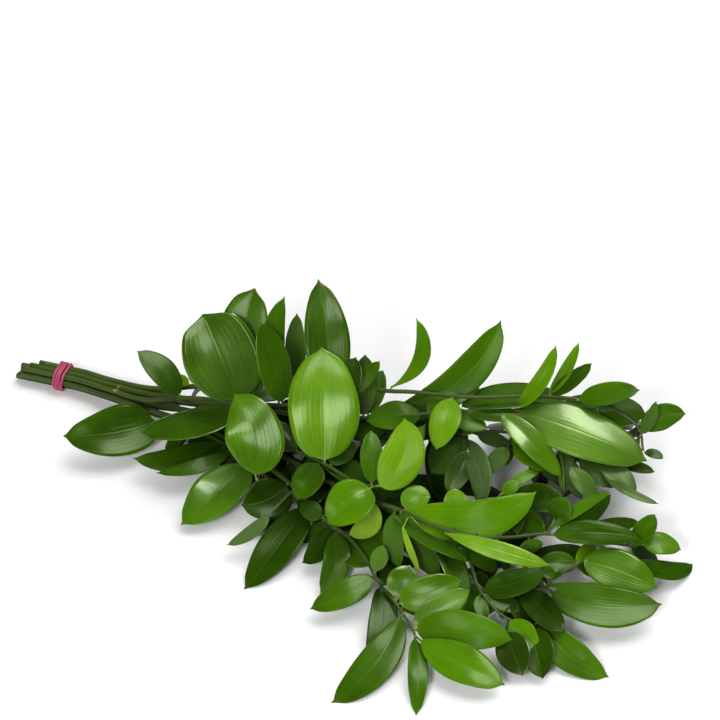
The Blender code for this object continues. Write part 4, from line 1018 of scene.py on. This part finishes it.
def bandLoop(shift, slant):
    centre = fromView(*bundleStations[bandLook["station"]][:3]) + bundleWay * shift
    reach = stalkLook["radius"] + bandLook["gap"] + bandLook["radius"]
    rise = bundleWay * slant + Vector((0, 0, 1))
    loop = []
    for i, (back, row) in enumerate(bundleCorners):
        middle = Vector((back * stalkLook["pitch"], row * (stalkLook["pitch"] * rowRise)))
        for turn in range(-3, 4):
            angle = math.radians(60 * i + turn * bandLook["corner"] / 3)
            place = middle + Vector((math.cos(angle), math.sin(angle))) * reach
            loop.append(centre + bundleBack * place.x + rise * place.y)
    return loop


def bandMaterial():
    material, tree, shader = newMaterial("bandRubber")
    grain = grainNoise(tree, *bandLook["grain"])
    colour = mixColour(tree, grain, bandLook["dark"], bandLook["light"])
    colour = mixColour(tree, bandLook["evenness"], colour, bandLook["colour"])
    feedAll(tree, shader, {"Base Color": colour, "Roughness": bandLook["roughness"]})
    addBump(tree, shader, grain, *bandLook["bump"])
    return material


bm = bmesh.new()
for shift, slant in bandLook["windings"]:
    loop = bandLoop(shift, slant)
    addTube(bm, loop, [bandLook["radius"]] * len(loop), bandLook["sides"], closed=True)
band = newPiece("band_windings", bm, [bandMaterial()])
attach(band, "root")
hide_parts("rubber_band")
print("band made")

# Floor and light. Each light: degrees round from the back, degrees up, distance, size, power, and
# whether it is only mirrored. The others light the scene and aren't mirrored
studio = dict(floor=(0.94, 0.94, 0.94), roughness=0.9, specular=0.1, half=6, world=0.31, mirrored=0.12,
              aim=Vector((0, 0.03, 0.03)),
              lights=dict(key=(42, 62, 2.0, 2.3, 37, False),
                          front=(-160, 38, 2.3, 0.6, 28, False),
                          glintRight=(60, 70, 2.0, 0.75, 36, True),
                          glintTop=(-179, 67, 2.0, 0.3, 2.5, True),
                          glintFront=(-179, 43, 2.0, 0.55, 8, True),
                          glintSide=(-155, 45, 2.0, 0.5, 6, True),
                          glintLow=(-175, 28, 2.0, 0.4, 4, True)))
floorMaterial, floorTree, floorShader = newMaterial("paleFloor")
feedAll(floorTree, floorShader, {"Base Color": studio["floor"], "Roughness": studio["roughness"],
                                 "Specular IOR Level": studio["specular"]})
floorMesh = bmesh.new()
bmesh.ops.create_grid(floorMesh, x_segments=1, y_segments=1, size=studio["half"])
floor = newPiece("floor", floorMesh, [floorMaterial])


def addAreaLight(name, turn, up, distance, size, energy, mirrored):
    data = bpy.data.lights.new(name, "AREA")
    data.shape = "DISK"
    data.size = size
    data.energy = energy
    lamp = bpy.data.objects.new(name, data)
    around, above = math.radians(turn), math.radians(up)
    way = Vector((math.sin(around) * math.cos(above), math.cos(around) * math.cos(above), math.sin(above)))
    lamp.location = studio["aim"] + way * distance
    lamp.rotation_euler = (-way).to_track_quat("-Z", "Y").to_euler()
    lamp.visible_diffuse = not mirrored
    lamp.visible_glossy = mirrored
    bpy.context.scene.collection.objects.link(lamp)


for lightName, values in studio["lights"].items():
    addAreaLight(lightName, *values)
world = bpy.data.worlds.new("studio")
world.use_nodes = True
background = world.node_tree.nodes["Background"]
background.inputs[0].default_value = (1, 1, 1, 1)
# The room is bright for what it lights, and darker where the leaves mirror it
path = world.node_tree.nodes.new("ShaderNodeLightPath")
strength = calc(world.node_tree, "MULTIPLY_ADD", path.outputs["Is Glossy Ray"],
                studio["world"] * (studio["mirrored"] - 1), studio["world"])
world.node_tree.links.new(strength, background.inputs[1])
bpy.context.scene.world = world
bpy.context.scene.view_settings.view_transform = "Standard"
print("light set")
